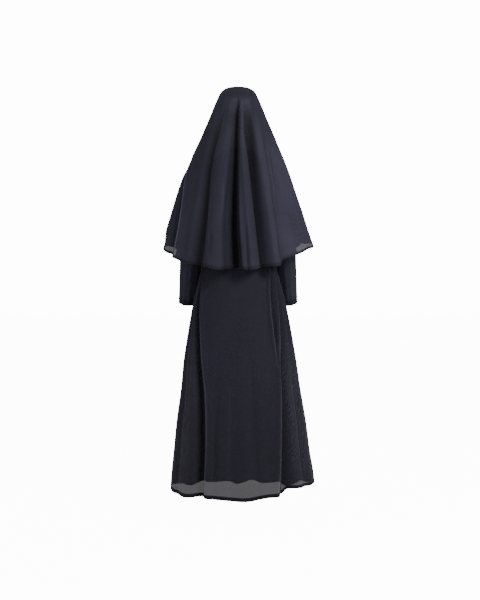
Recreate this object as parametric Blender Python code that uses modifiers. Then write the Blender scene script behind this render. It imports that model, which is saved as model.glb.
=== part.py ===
"""Nun habit: a long A-line robe with straight sleeves, and a round-cut veil gathered behind the crown.

Metres, +Z up. The habit faces -Y, its back is towards +Y, and the wearer's left is +X. The origin is at the
base of the neck, between the shoulders, where the wearer holds the robe up. The cloth keeps the open, hollow
form that it takes when worn: two robe panels, two sleeves, a neck binding, the veil and its face band.
"""

import math
from collections import namedtuple

import bmesh
import bpy
from mathutils import Vector

# Driving dimensions
CLOTH = 0.0015  # wall of a single layer
BAND_CLOTH = 0.0022  # wall of a doubled, stitched strip
SEAM_GAP = 0.0003  # between pieces sewn edge to edge
NECK_HALF_WIDTH = 0.078
NECK_BACK = (0.062, 0.026)  # how far behind the origin the neckline runs, and how high it stands there
NECK_FRONT = (-0.078, -0.034)
NECK_SIDE_HEIGHT = 0.006
NECK_BINDING_HEIGHT = 0.014
NECK_BINDING_INSET = 0.955  # the binding's foot, as a share of the neckline's size
NECK_BINDING_LEAN = 0.03  # how much narrower its upper edge is
YOKE_ROUNDNESS = 1.9  # of the back and chest between the armholes: higher is flatter towards the arms
SHOULDER_SLOPE_POWER = 1.8  # the shoulder seam falls slowly at the neck and faster at the arm
FACE_BAND_WIDTH = 0.013
FACE_BAND_STAND = 52.0  # degrees that the band stands off the crown over the top of the head

FOLD_SETS_IN = 0.15  # share of the way down over which a fold sets in
FOLD_SHALLOW = 0.42  # a fold's depth over the shoulders, as a share of its depth at the hem
FOLD_DEEPENS = 0.55  # share of the way down where folds clear the body and begin to deepen

ROBE_COLUMNS = 28
YOKE_SHARES = (0.0, 0.03, 0.17, 0.34, 0.52, 0.70, 0.86, 1.0)  # rows from the shoulder seam to the underarm
SLEEVE_COLUMNS = 18
VEIL_SIDE = 0.58  # share of the veil's half width that hangs behind the shoulder
VEIL_COLUMNS = 60

BLACK_CLOTH = (0.017, 0.017, 0.026)
BLACK_BINDING = (0.010, 0.010, 0.016)

# The robe's level sections, from the underarm to the hem. A section is half a rounded oval behind the side
# seams and half in front of them; the drops are how much lower than the side seam the panel's middle is.
Section = namedtuple(
    "Section", "side_z half_width middle_x widest_y back_y front_y back_drop front_drop square"
)
ROBE_SECTIONS = (
    Section(-0.205, 0.157, 0.000, 0.000, 0.120, -0.130, 0.000, 0.000, 2.3),
    Section(-0.290, 0.145, 0.000, 0.002, 0.115, -0.126, 0.000, 0.000, 2.2),
    Section(-0.365, 0.140, -0.002, 0.008, 0.115, -0.122, 0.000, 0.000, 2.1),
    Section(-0.430, 0.149, -0.004, 0.018, 0.122, -0.122, 0.000, 0.000, 2.0),
    Section(-0.500, 0.165, -0.005, 0.030, 0.138, -0.124, 0.000, 0.000, 2.0),
    Section(-0.580, 0.185, -0.006, 0.040, 0.154, -0.128, 0.000, 0.000, 2.0),
    Section(-0.680, 0.204, -0.007, 0.034, 0.168, -0.142, 0.001, 0.001, 2.1),
    Section(-0.800, 0.224, -0.008, 0.024, 0.181, -0.160, 0.003, 0.002, 2.2),
    Section(-0.920, 0.239, -0.011, 0.016, 0.192, -0.176, 0.007, 0.005, 2.3),
    Section(-1.040, 0.258, -0.013, 0.008, 0.203, -0.192, 0.012, 0.010, 2.3),
    Section(-1.160, 0.272, -0.015, 0.002, 0.214, -0.206, 0.019, 0.016, 2.3),
    Section(-1.240, 0.283, -0.017, 0.000, 0.221, -0.216, 0.026, 0.022, 2.3),
    Section(-1.294, 0.288, -0.018, 0.000, 0.225, -0.222, 0.033, 0.028, 2.3),
)

# A sleeve's rings, from the armhole to the cuff, each by its outermost and innermost points. The lean tips
# the back of a ring down, as the forearm swings forward.
Ring = namedtuple("Ring", "outer_x outer_z inner_x inner_z middle_y half_depth lean")
SLEEVE_RINGS = (
    Ring(0.178, -0.038, 0.157, -0.205, 0.000, 0.070, 0.0),
    Ring(0.180, -0.038, 0.159, -0.205, 0.000, 0.070, 0.0),
    Ring(0.192, -0.062, 0.162, -0.218, 0.000, 0.068, 0.0),
    Ring(0.204, -0.105, 0.162, -0.235, 0.000, 0.066, 0.0),
    Ring(0.216, -0.165, 0.160, -0.264, 0.000, 0.064, 0.0),
    Ring(0.226, -0.245, 0.157, -0.306, -0.004, 0.060, 2.0),
    Ring(0.232, -0.330, 0.150, -0.360, -0.016, 0.056, 6.0),
    Ring(0.236, -0.410, 0.145, -0.422, -0.038, 0.052, 11.0),
    Ring(0.239, -0.490, 0.153, -0.496, -0.062, 0.048, 15.0),
    Ring(0.243, -0.572, 0.161, -0.577, -0.086, 0.045, 16.0),
)

# The veil's levels, from the face edge over the head down to the hem, each by the place of its side, its back
# and its front edge. A low roundness flattens the top of the head.
Level = namedtuple("Level", "side_x side_y side_z back_y back_z edge_x edge_y edge_z roundness")
VEIL_LEVELS = (
    Level(0.054, -0.046, 0.256, -0.046, 0.2845, 0.076, -0.052, 0.190, 0.50),
    Level(0.071, -0.010, 0.238, -0.010, 0.2875, 0.083, -0.056, 0.145, 0.50),
    Level(0.084, 0.010, 0.214, 0.033, 0.276, 0.089, -0.062, 0.100, 0.60),
    Level(0.097, 0.016, 0.190, 0.071, 0.243, 0.096, -0.071, 0.055, 0.75),
    Level(0.116, 0.014, 0.151, 0.093, 0.190, 0.104, -0.086, 0.008, 0.90),
    Level(0.138, 0.006, 0.106, 0.107, 0.130, 0.112, -0.108, -0.045, 1.00),
    Level(0.159, -0.004, 0.060, 0.121, 0.060, 0.121, -0.132, -0.100, 1.00),
    Level(0.183, -0.012, 0.006, 0.138, -0.020, 0.130, -0.152, -0.155, 1.00),
    Level(0.208, -0.016, -0.058, 0.156, -0.105, 0.139, -0.169, -0.210, 1.00),
    Level(0.233, -0.016, -0.132, 0.173, -0.192, 0.148, -0.183, -0.262, 1.00),
    Level(0.260, -0.014, -0.212, 0.187, -0.282, 0.157, -0.194, -0.312, 1.05),
    Level(0.283, -0.012, -0.286, 0.198, -0.366, 0.164, -0.203, -0.356, 1.15),
    Level(0.304, -0.010, -0.350, 0.206, -0.449, 0.170, -0.210, -0.396, 1.25),
)

# Folds run down a panel. Their angles are taken round the section from the panel's middle, towards the
# wearer's left, at the fold's top, half way and at the hem, and their width is in the same degrees. A negative
# depth is a ridge. Starts is the share of the way down where the fold begins.
Fold = namedtuple("Fold", "top half hem width depth starts")
VEIL_FOLDS = (
    Fold(34, 31, 26, 8, 0.044, 0.18),
    Fold(16, 17, 15, 8, -0.012, 0.18),
    Fold(-3, 1, 3, 8, 0.064, 0.18),
    Fold(-12, -8, -10, 5, -0.014, 0.20),
    Fold(-27, -18, -21, 6, 0.048, 0.18),
    Fold(-38, -36, -33, 4, 0.024, 0.50),
    Fold(93, 93, 55, 5, 0.014, 0.62),
    Fold(-66, -64, -60, 8, 0.010, 0.62),
    Fold(104, 106, 108, 9, 0.024, 0.66),
    Fold(-100, -104, -110, 8, 0.028, 0.66),
    Fold(132, 132, 134, 7, 0.018, 0.60),
    Fold(-134, -136, -136, 7, 0.016, 0.60),
)
ROBE_BACK_FOLDS = (
    Fold(60, 46, 36, 7, 0.030, 0.38),
    Fold(-52, -42, -33, 6, 0.030, 0.36),
    Fold(-66, -60, -56, 6, 0.012, 0.42),
    Fold(74, 70, 64, 7, 0.010, 0.50),
)
ROBE_FRONT_FOLDS = (
    Fold(44, 40, 34, 7, 0.026, 0.38),
    Fold(-40, -38, -36, 7, 0.030, 0.36),
    Fold(4, 2, 6, 8, 0.014, 0.50),
    Fold(66, 64, 60, 7, 0.012, 0.50),
    Fold(-68, -64, -62, 7, 0.010, 0.55),
)

# A hem's rise over its section's plain edge, by the angle round the section. It fades out above the hem.
Rise = namedtuple("Rise", "angle height")
VEIL_HEM = (
    Rise(-145, 0.012), Rise(-108, -0.006), Rise(-90, 0.002), Rise(-60, 0.020), Rise(-36, 0.020),
    Rise(-31, 0.002), Rise(-20, 0.010), Rise(-10, 0.002), Rise(3, 0.012), Rise(16, 0.000),
    Rise(27, 0.006), Rise(45, -0.002), Rise(58, 0.006), Rise(90, 0.000), Rise(112, 0.010),
    Rise(145, -0.004),
)
ROBE_BACK_HEM = (
    Rise(-90, 0.010), Rise(-60, 0.024), Rise(-37, 0.034), Rise(-31, 0.016), Rise(-18, 0.010),
    Rise(0, -0.001), Rise(16, 0.003), Rise(32, 0.005), Rise(48, -0.006), Rise(70, -0.012),
    Rise(90, -0.012),
)
ROBE_FRONT_HEM = (
    Rise(-90, 0.010), Rise(-60, -0.004), Rise(-40, -0.020), Rise(-24, -0.014), Rise(0, 0.000),
    Rise(22, -0.006), Rise(42, -0.022), Rise(66, -0.016), Rise(90, -0.012),
)
HEM_RISE_FADES = 0.12  # share of the way up over which it fades out


def clear_scene():
    for thing in list(bpy.data.objects):
        bpy.data.objects.remove(thing, do_unlink=True)


def collection(name):
    made = bpy.data.collections.new(name)
    bpy.context.scene.collection.children.link(made)
    return made


def material(name, colour, roughness):
    made = bpy.data.materials.new(name)
    made.use_nodes = True
    shader = made.node_tree.nodes["Principled BSDF"]
    shader.inputs["Base Color"].default_value = (*colour, 1.0)
    shader.inputs["Roughness"].default_value = roughness
    shader.inputs["Metallic"].default_value = 0.0
    return made


def mix(start, end, share):
    return start + (end - start) * share


def smooth(share):
    share = min(max(share, 0.0), 1.0)
    return share * share * (3.0 - 2.0 * share)


def row_at(table, place):
    """The table's row at a fractional place, its numbers mixed from the two rows beside it."""
    first = min(int(place), len(table) - 2)
    return table[0]._make(mix(a, b, place - first) for a, b in zip(table[first], table[first + 1]))


def fold_depth(folds, angle, down):
    """How far the folds push the cloth in at an angle round the section and a share of the way down."""
    depth = 0.0
    for fold in folds:
        upper = mix(fold.top, fold.half, min(down * 2.0, 1.0))
        middle = mix(upper, fold.hem, max(down * 2.0 - 1.0, 0.0))
        shallow = FOLD_SHALLOW * smooth((down - fold.starts) / FOLD_SETS_IN)
        deep = (1.0 - FOLD_SHALLOW) * smooth((down - FOLD_DEEPENS) / (1.0 - FOLD_DEEPENS))
        begun = smooth((down - fold.starts) / FOLD_SETS_IN)
        depth += fold.depth * (shallow + deep * begun) * math.exp(-(((angle - middle) / fold.width) ** 2))
    return depth


def hem_rise(table, angle, down):
    """How far the uneven hem lifts the cloth at an angle round the section and a share of the way down."""
    height = table[-1].height
    for before, after in zip(table, table[1:]):
        if angle <= after.angle:
            share = (angle - before.angle) / (after.angle - before.angle)
            height = mix(before.height, after.height, smooth(share))
            break
    return Vector((0.0, 0.0, height * smooth(1.0 - (1.0 - down) / HEM_RISE_FADES)))


def pushed_in(point, outward_x, outward_y, depth):
    """The point moved level, against the section's outward direction."""
    outward = Vector((outward_x, outward_y, 0.0)).normalized()
    return point - outward * depth


def sleeve_ring(ring, side, angle):
    """A point of a sleeve's ring: 0 degrees is its outermost point, and 90 is at the back."""
    turn, lean = math.radians(angle), math.radians(ring.lean)
    outer = Vector((side * ring.outer_x, 0.0, ring.outer_z))
    inner = Vector((side * ring.inner_x, 0.0, ring.inner_z))
    middle = (outer + inner) / 2.0 + Vector((0.0, ring.middle_y, 0.0))
    back = Vector((0.0, math.cos(lean), -math.sin(lean)))
    return middle + (outer - inner) / 2.0 * math.cos(turn) + back * ring.half_depth * math.sin(turn)


def robe_section(section, facing, angle):
    """A point of the robe below the arms. Facing is 1 on the back panel and -1 on the front one."""
    turn = math.radians(angle)
    power = 2.0 / section.square
    across = math.copysign(abs(math.sin(turn)) ** power, angle)
    away = abs(math.cos(turn)) ** power
    deep_y = section.back_y if facing > 0 else section.front_y
    drop = section.back_drop if facing > 0 else section.front_drop
    return Vector((
        section.middle_x + section.half_width * across,
        mix(section.widest_y, deep_y, away),
        section.side_z - drop * math.cos(turn),
    ))


def top_edge(facing, angle):
    """The upper edge of a robe panel: the neckline in the middle and a shoulder seam on each side."""
    shoulder = SLEEVE_RINGS[0]
    x = shoulder.outer_x * math.sin(math.radians(angle))
    neck_y, neck_z = NECK_BACK if facing > 0 else NECK_FRONT
    if abs(x) < NECK_HALF_WIDTH:
        curve = math.sqrt(1.0 - (x / NECK_HALF_WIDTH) ** 2)
        return Vector((x, neck_y * curve, mix(NECK_SIDE_HEIGHT, neck_z, curve)))
    along = (abs(x) - NECK_HALF_WIDTH) / (shoulder.outer_x - NECK_HALF_WIDTH)
    return Vector((x, 0.0, mix(NECK_SIDE_HEIGHT, shoulder.outer_z, along**SHOULDER_SLOPE_POWER)))


def yoke_point(facing, angle, down):
    """A point of a robe panel above the underarm, which eases out to the armhole at the panel's side."""
    side = math.copysign(1.0, angle)
    quarter = down * math.pi / 2.0
    roundness = mix(YOKE_ROUNDNESS, 2.0 / ROBE_SECTIONS[0].square, down**3)

    def eased(around):
        top, bottom = top_edge(facing, around), robe_section(ROBE_SECTIONS[0], facing, around)
        deep_y = robe_section(ROBE_SECTIONS[0], facing, 0.0).y * math.cos(math.radians(around)) ** roundness
        return Vector((
            mix(top.x, bottom.x, down),
            mix(top.y, deep_y, math.sin(quarter) ** 0.75),
            mix(top.z, bottom.z, 1.0 - math.cos(quarter) ** 1.2),
        ))

    armhole = sleeve_ring(SLEEVE_RINGS[0], side, facing * 180.0 * down)
    return eased(angle) + (armhole - eased(90.0 * side)) * math.sin(math.radians(angle)) ** 2


def robe_place(facing, folds, hem):
    """Where a robe panel's cloth is: across from -1 to 1, and a row counted down from the shoulder."""
    yoke, last = len(YOKE_SHARES) - 1, len(ROBE_SECTIONS) - 1

    def place(across, row):
        angle = across * 90.0
        row = round(row)
        if row <= yoke:
            point = yoke_point(facing, angle, YOKE_SHARES[row])
            return point + Vector((0.0, facing * SEAM_GAP / 2.0, 0.0))
        section = ROBE_SECTIONS[row - yoke]
        point = robe_section(section, facing, angle)
        down = row / (yoke + last)
        turn = math.radians(angle)
        deep = abs((section.back_y if facing > 0 else section.front_y) - section.widest_y)
        outward = (math.sin(turn) / section.half_width, facing * math.cos(turn) / deep)
        point += Vector((0.0, facing * SEAM_GAP / 2.0, 0.0)) + hem_rise(hem, angle, down)
        return pushed_in(point, *outward, fold_depth(folds, angle, down))

    return place


def veil_angle(across):
    """The angle round the head, from its back, of a place across the veil."""
    if abs(across) <= VEIL_SIDE:
        return 90.0 * across / VEIL_SIDE
    beyond = (abs(across) - VEIL_SIDE) / (1.0 - VEIL_SIDE)
    return math.copysign(90.0 + 55.0 * beyond, across)


def veil_place(across, row):
    """Where the veil's cloth is: across from front edge to front edge, and a level counted from the top."""
    level = row_at(VEIL_LEVELS, row)
    down = row / (len(VEIL_LEVELS) - 1)
    angle = veil_angle(across)
    side = math.copysign(1.0, across)
    if abs(across) <= VEIL_SIDE:
        turn = math.radians(angle)
        behind = math.cos(turn)
        point = Vector((
            level.side_x * math.sin(turn),
            mix(level.side_y, level.back_y, behind),
            mix(level.side_z, level.back_z, max(behind, 0.0) ** level.roundness),
        ))
        outward = (math.sin(turn) / level.side_x, behind / max(level.back_y - level.side_y, 0.05))
    else:
        beyond = (abs(across) - VEIL_SIDE) / (1.0 - VEIL_SIDE)
        turn = beyond * math.pi / 2.0
        point = Vector((
            side * mix(level.side_x, level.edge_x, 1.0 - math.cos(turn)),
            mix(level.side_y, level.edge_y, math.sin(turn)),
            mix(level.side_z, level.edge_z, beyond),
        ))
        outward = (side * math.cos(turn), -math.sin(turn))
    return pushed_in(point, *outward, fold_depth(VEIL_FOLDS, angle, down)) + hem_rise(VEIL_HEM, angle, down)


def sheet(name, columns, rows, place, finish, group, middle_x=0.0, closed=False, wall=CLOTH):
    """A piece of cloth as an open surface with a wall: a grid whose points go where place says."""
    shape = bmesh.new()
    bmesh.ops.create_grid(shape, x_segments=columns, y_segments=rows, size=1.0)
    for point in shape.verts:
        across, down = point.co.x, (1.0 - point.co.y) / 2.0
        point.co = place(across, down * rows)
    if closed:
        bmesh.ops.remove_doubles(shape, verts=shape.verts, dist=1e-6)
    shape.normal_update()
    outwardness = sum(
        face.normal.dot(face.calc_center_median() - Vector((middle_x, 0.0, face.calc_center_median().z)))
        for face in shape.faces
    )
    if outwardness < 0.0:
        bmesh.ops.reverse_faces(shape, faces=shape.faces)
    mesh = bpy.data.meshes.new(name)
    shape.to_mesh(mesh)
    shape.free()
    mesh.shade_smooth()
    piece = bpy.data.objects.new(name, mesh)
    piece.data.materials.append(finish)
    group.objects.link(piece)
    solidify = piece.modifiers.new("wall", "SOLIDIFY")
    solidify.thickness = wall
    solidify.offset = -1.0
    return piece


def make_robe(group):
    rows = len(YOKE_SHARES) + len(ROBE_SECTIONS) - 2
    panels = (
        ("robe_back", 1, ROBE_BACK_FOLDS, ROBE_BACK_HEM),
        ("robe_front", -1, ROBE_FRONT_FOLDS, ROBE_FRONT_HEM),
    )
    for name, facing, folds, hem in panels:
        finish = material(name + "_cloth", BLACK_CLOTH, 0.8)
        sheet(name, ROBE_COLUMNS, rows, robe_place(facing, folds, hem), finish, group)


def make_sleeves(group):
    for name, side in (("sleeve_left", 1), ("sleeve_right", -1)):

        def place(across, row, side=side):
            point = sleeve_ring(row_at(SLEEVE_RINGS, row), side, across * 180.0)
            return point + Vector((side * SEAM_GAP, 0.0, 0.0))

        middle = side * (SLEEVE_RINGS[5].outer_x + SLEEVE_RINGS[5].inner_x) / 2.0
        finish = material(name + "_cloth", BLACK_CLOTH, 0.8)
        sheet(name, SLEEVE_COLUMNS, len(SLEEVE_RINGS) - 1, place, finish, group, middle_x=middle, closed=True)


def make_neck_binding(group):
    """A narrow doubled strip that stands on the neckline, all round."""

    def place(across, row):
        turn = across * math.pi
        neck_y, neck_z = NECK_BACK if math.cos(turn) > 0.0 else NECK_FRONT
        curve = abs(math.cos(turn))
        lean_in = NECK_BINDING_INSET - NECK_BINDING_LEAN * row
        height = SEAM_GAP + NECK_BINDING_HEIGHT * row
        return Vector((
            NECK_HALF_WIDTH * math.sin(turn) * lean_in,
            neck_y * curve * lean_in,
            mix(NECK_SIDE_HEIGHT, neck_z, curve) + height,
        ))

    finish = material("neck_binding_cloth", BLACK_BINDING, 0.75)
    sheet("neck_binding", 28, 1, place, finish, group, closed=True)


def make_veil(group):
    finish = material("veil_cloth", BLACK_CLOTH, 0.75)
    sheet("veil", VEIL_COLUMNS, len(VEIL_LEVELS) - 1, veil_place, finish, group)


def face_edge():
    """The veil's face edge from one hem corner over the head to the other, as (point, forward, stand)."""
    last = len(VEIL_LEVELS) - 1
    step = 2.0 / VEIL_COLUMNS

    def down_the_front(side, row):
        point, inner = veil_place(side, row), veil_place(side * (1.0 - step), row)
        at_face = smooth((8.0 - row) / 4.0)
        forward = (point - inner).normalized().lerp(Vector((0.0, -1.0, 0.0)), at_face).normalized()
        return point, forward, FACE_BAND_STAND * smooth((6.0 - row) / 5.0)

    def over_the_head(column):
        return veil_place(1.0 - column * step, 0.0), Vector((0.0, -1.0, 0.0)), FACE_BAND_STAND

    left = [down_the_front(1.0, row) for row in range(last, 0, -1)]
    top = [over_the_head(column) for column in range(0, VEIL_COLUMNS + 1, 2)]
    return left + top + [down_the_front(-1.0, row) for row in range(1, last + 1)]


def make_face_band(group):
    """The stitched band along the veil's whole face edge. Over the head it stands up off the crown."""
    edge = face_edge()

    def place(across, row):
        number = round((across + 1.0) / 2.0 * (len(edge) - 1))
        point, forward, stand = edge[number]
        before, after = edge[max(number - 1, 0)][0], edge[min(number + 1, len(edge) - 1)][0]
        outward = (after - before).normalized().cross(forward)
        tip = math.radians(stand)
        direction = forward * math.cos(tip) + outward * math.sin(tip)
        return point + forward * (SEAM_GAP + BAND_CLOTH) + direction * FACE_BAND_WIDTH * row

    finish = material("veil_face_band_cloth", BLACK_BINDING, 0.7)
    sheet("veil_face_band", len(edge) - 1, 1, place, finish, group, wall=BAND_CLOTH)


def main():
    clear_scene()
    group = collection("nun_habit")
    make_robe(group)
    make_sleeves(group)
    make_neck_binding(group)
    make_veil(group)
    make_face_band(group)


main()
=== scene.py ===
"""The looks of a nun habit: a black A-line robe, straight sleeves and a round-cut veil, as worn, seen from behind.

Metres, +Z up. The habit faces -Y and the wearer's left is +X. Every piece of cloth is a fine grid, laid on the
form of its solid and then creased from the tables below. Seams, hems and stitches are pieces of their own.
"""

import logging
import math
from collections.abc import Callable
from dataclasses import dataclass, replace
from enum import Enum
from typing import ClassVar, Union

import bmesh
import bpy
import numpy as np
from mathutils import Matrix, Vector

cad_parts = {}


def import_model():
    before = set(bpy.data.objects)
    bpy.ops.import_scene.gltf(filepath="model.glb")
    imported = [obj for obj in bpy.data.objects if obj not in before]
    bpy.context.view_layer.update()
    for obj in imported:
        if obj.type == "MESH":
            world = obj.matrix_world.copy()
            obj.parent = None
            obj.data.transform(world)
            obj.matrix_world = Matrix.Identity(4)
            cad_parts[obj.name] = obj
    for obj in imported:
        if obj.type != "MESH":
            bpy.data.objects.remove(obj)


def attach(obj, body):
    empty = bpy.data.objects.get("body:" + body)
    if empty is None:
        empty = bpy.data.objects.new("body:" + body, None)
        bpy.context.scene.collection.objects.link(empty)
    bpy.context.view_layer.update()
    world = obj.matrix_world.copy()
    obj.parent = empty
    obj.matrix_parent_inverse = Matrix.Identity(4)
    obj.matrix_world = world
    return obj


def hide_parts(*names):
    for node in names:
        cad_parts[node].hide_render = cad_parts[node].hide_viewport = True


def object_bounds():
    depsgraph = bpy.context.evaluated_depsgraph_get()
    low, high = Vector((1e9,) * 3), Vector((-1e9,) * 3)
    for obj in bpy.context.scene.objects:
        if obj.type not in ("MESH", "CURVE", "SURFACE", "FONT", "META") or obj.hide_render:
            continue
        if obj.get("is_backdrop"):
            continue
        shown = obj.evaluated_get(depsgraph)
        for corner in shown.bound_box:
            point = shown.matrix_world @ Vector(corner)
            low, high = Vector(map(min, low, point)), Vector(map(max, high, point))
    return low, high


logging.basicConfig(level=logging.INFO, format="%(message)s")
log = logging.getLogger("habit")

Array = np.ndarray
Path = tuple[float, ...]
Span = tuple[float, float]
Point = tuple[float, float, float]
Colour = tuple[float, float, float]
Line = Callable[[Array], tuple[Array, Array]]
Value = Union[bpy.types.NodeSocket, float]

# Driving dimensions
CLOTH = 0.0009  # shown thickness of a single layer
BINDING = 0.0016  # and of a doubled strip
SEAM_LAP = 0.0004  # by which pieces sewn together lap
HEM_GAP = 0.0004  # between a cloth and its turned-up edge
NECK_HALF_WIDTH = 0.078
NECK_BACK = (0.062, 0.026)  # how far behind the origin the neckline runs, and how high it stands there
NECK_FRONT = (-0.078, -0.034)
NECK_SIDE_HEIGHT = 0.006
YOKE_ROWS = 7  # rows of the robe's sections that the stretch above the underarm counts for
YOKE_ROUNDNESS = 1.9
YOKE_SWELL_POWER = 0.75  # how soon it bulges out below the shoulder
YOKE_DROP_POWER = 1.2
SHOULDER_SLOPE_POWER = 1.8
HEM_RISE_FADES = 0.12  # share of the way up over which an uneven hem evens out

# How folds and the painted shading grow and fade, as shares of the way down
FOLDS_GROW_FROM = 0.45
CREASE_FADE = 0.08
PAINTED_SHADING_FADE = 0.06
LAP_GROWS_OVER = 0.25

# The loops in which the veil's folds spring from the crown: columns middle and width in degrees, height
VEIL_LOOPS = ((11.0, 9.5, 0.009), (-15.0, 11.0, 0.010), (29.0, 7.0, 0.004), (-37.0, 7.5, 0.004))
LOOPS_START = 0.262  # shares of the way down
LOOPS_SAG = 0.016
LOOPS_SET_IN = 0.024
LOOPS_HOLD = 0.05
LOOPS_FADE = 0.22

# How dense the veil looks: the crown's cover first, then step by step to the hem's
VEIL_COVERS = (0.985, 0.976, 0.966, 0.955, 0.944, 0.933, 0.922)
VEIL_COVER_STEPS = (0.72, 0.75, 0.78, 0.81, 0.84, 0.87)  # shares of the way down where the next cover begins
VEIL_THIN_SIDE = 0.34  # share across beyond which nothing stands behind the veil

WATERED_COLOUR = (0.066, 0.064, 0.086, 1.0)
WHITE = (1.0, 1.0, 1.0, 1.0)

# Columns: side_z half_width middle_x widest_y back_y front_y back_drop front_drop square
ROBE_SECTIONS = np.array((
    (-0.205, 0.157, 0.000, 0.000, 0.120, -0.130, 0.000, 0.000, 2.3),
    (-0.290, 0.145, 0.000, 0.002, 0.115, -0.126, 0.000, 0.000, 2.2),
    (-0.365, 0.140, -0.002, 0.008, 0.115, -0.122, 0.000, 0.000, 2.1),
    (-0.430, 0.149, -0.004, 0.018, 0.122, -0.122, 0.000, 0.000, 2.0),
    (-0.500, 0.165, -0.005, 0.030, 0.138, -0.124, 0.000, 0.000, 2.0),
    (-0.580, 0.185, -0.006, 0.040, 0.154, -0.128, 0.000, 0.000, 2.0),
    (-0.680, 0.204, -0.007, 0.034, 0.168, -0.142, 0.001, 0.001, 2.1),
    (-0.800, 0.224, -0.008, 0.024, 0.181, -0.160, 0.003, 0.002, 2.2),
    (-0.920, 0.239, -0.011, 0.016, 0.192, -0.176, 0.007, 0.005, 2.3),
    (-1.040, 0.258, -0.013, 0.008, 0.203, -0.192, 0.012, 0.010, 2.3),
    (-1.160, 0.272, -0.015, 0.002, 0.214, -0.206, 0.019, 0.016, 2.3),
    (-1.240, 0.283, -0.017, 0.000, 0.221, -0.216, 0.026, 0.022, 2.3),
    (-1.294, 0.288, -0.018, 0.000, 0.225, -0.222, 0.033, 0.028, 2.3),
))

# Columns: outer_x outer_z inner_x inner_z middle_y half_depth lean
SLEEVE_RINGS = np.array((
    (0.178, -0.038, 0.157, -0.205, 0.000, 0.070, 0.0),
    (0.180, -0.038, 0.159, -0.205, 0.000, 0.070, 0.0),
    (0.192, -0.062, 0.162, -0.218, 0.000, 0.068, 0.0),
    (0.204, -0.105, 0.162, -0.235, 0.000, 0.066, 0.0),
    (0.216, -0.165, 0.160, -0.264, 0.000, 0.064, 0.0),
    (0.226, -0.245, 0.157, -0.306, -0.004, 0.060, 2.0),
    (0.232, -0.330, 0.150, -0.360, -0.016, 0.056, 6.0),
    (0.236, -0.410, 0.145, -0.422, -0.038, 0.052, 11.0),
    (0.239, -0.490, 0.153, -0.496, -0.062, 0.048, 15.0),
    (0.243, -0.572, 0.161, -0.577, -0.086, 0.045, 16.0),
))

# Columns: side_x side_y side_z back_y back_z edge_x edge_y edge_z roundness
VEIL_LEVELS = np.array((
    (0.054, -0.046, 0.260, -0.046, 0.2885, 0.076, -0.052, 0.192, 0.50),
    (0.070, -0.010, 0.242, -0.010, 0.2915, 0.083, -0.056, 0.146, 0.50),
    (0.082, 0.010, 0.216, 0.033, 0.279, 0.089, -0.062, 0.100, 0.60),
    (0.097, 0.016, 0.190, 0.071, 0.243, 0.096, -0.071, 0.055, 0.75),
    (0.116, 0.014, 0.151, 0.093, 0.190, 0.104, -0.086, 0.008, 0.90),
    (0.138, 0.006, 0.106, 0.107, 0.130, 0.112, -0.108, -0.045, 1.00),
    (0.159, -0.004, 0.060, 0.121, 0.060, 0.121, -0.132, -0.100, 1.00),
    (0.183, -0.012, 0.006, 0.138, -0.020, 0.130, -0.152, -0.155, 1.00),
    (0.208, -0.016, -0.058, 0.156, -0.105, 0.139, -0.169, -0.210, 1.00),
    (0.233, -0.016, -0.132, 0.173, -0.192, 0.148, -0.183, -0.262, 1.00),
    (0.260, -0.014, -0.212, 0.187, -0.282, 0.157, -0.194, -0.312, 1.05),
    (0.283, -0.012, -0.286, 0.198, -0.366, 0.164, -0.203, -0.356, 1.15),
    (0.304, -0.010, -0.350, 0.206, -0.449, 0.170, -0.210, -0.396, 1.25),
))

# Where the columns of a crease's path stand, as shares of the way down a panel.
PATH_SHARES = (0.2, 0.4, 0.6, 0.8, 1.0)

# A hem's rise over its section's plain edge: columns angle, height.
VEIL_HEM = np.array((
    (-145, 0.020), (-116, 0.040), (-100, 0.026), (-90, 0.004), (-60, 0.020), (-36, 0.020), (-31, 0.002), (-20, 0.010),
    (-10, 0.002), (3, 0.012), (16, 0.000), (27, 0.006), (45, -0.002), (58, 0.006), (90, 0.000), (103, 0.016),
    (118, 0.024), (145, 0.002),
))
ROBE_BACK_HEM = np.array((
    (-90, 0.010), (-60, 0.024), (-37, 0.034), (-31, 0.016), (-18, 0.010), (0, -0.001), (16, 0.003),
    (32, 0.005), (48, -0.006), (70, -0.012), (90, -0.012),
))
ROBE_FRONT_HEM = np.array((
    (-90, 0.010), (-70, -0.004), (-58, 0.002), (-40, -0.020), (-33, -0.008), (-14, -0.013), (-6, 0.000),
    (3, -0.015), (9, -0.004), (26, -0.010), (34, 0.002), (45, -0.022), (62, -0.010), (90, -0.012),
))


class Held(Enum):
    """How a sheet of cloth is held."""

    HUNG = "hung"
    DRAPED = "draped"
    STRETCHED = "stretched"


class Weave(Enum):
    """How the cloth's surface looks close to."""

    PLAIN = "plain"
    WATERED = "watered"


@dataclass(frozen=True)
class Crease:
    """A trough or ridge that runs down a panel.

    Args:
        path: Degrees round the section at each of PATH_SHARES.
        left: Width in degrees on the side towards the wearer's left.
        right: Width in degrees on the other side.
        depth: Metres that it sets in; negative stands out.
        starts: Share of the way down where it begins.
        ends: Share of the way down where it has faded out.
        sets_in: Share of the way down that it takes to set in.
        at_start: Depth just after it has set in, as a share of its depth at the hem.
        square: Power of its profile: 2 is round, and higher has steep walls and a flat floor.
    """

    path: Path
    left: float
    right: float
    depth: float
    starts: float = 0.18
    ends: float = 2.0
    sets_in: float = 0.10
    at_start: float = 0.42
    square: float = 2.0


@dataclass(frozen=True)
class Lap:
    """A fold's edge that laps sideways over the trough beside it.

    Args:
        path: Degrees round the section at each of PATH_SHARES.
        width: Degrees over which the cloth is drawn along.
        reach: Metres that it is drawn, positive towards the wearer's left.
        starts: Share of the way down where it begins.
    """

    path: Path
    width: float
    reach: float
    starts: float = 0.3


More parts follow.
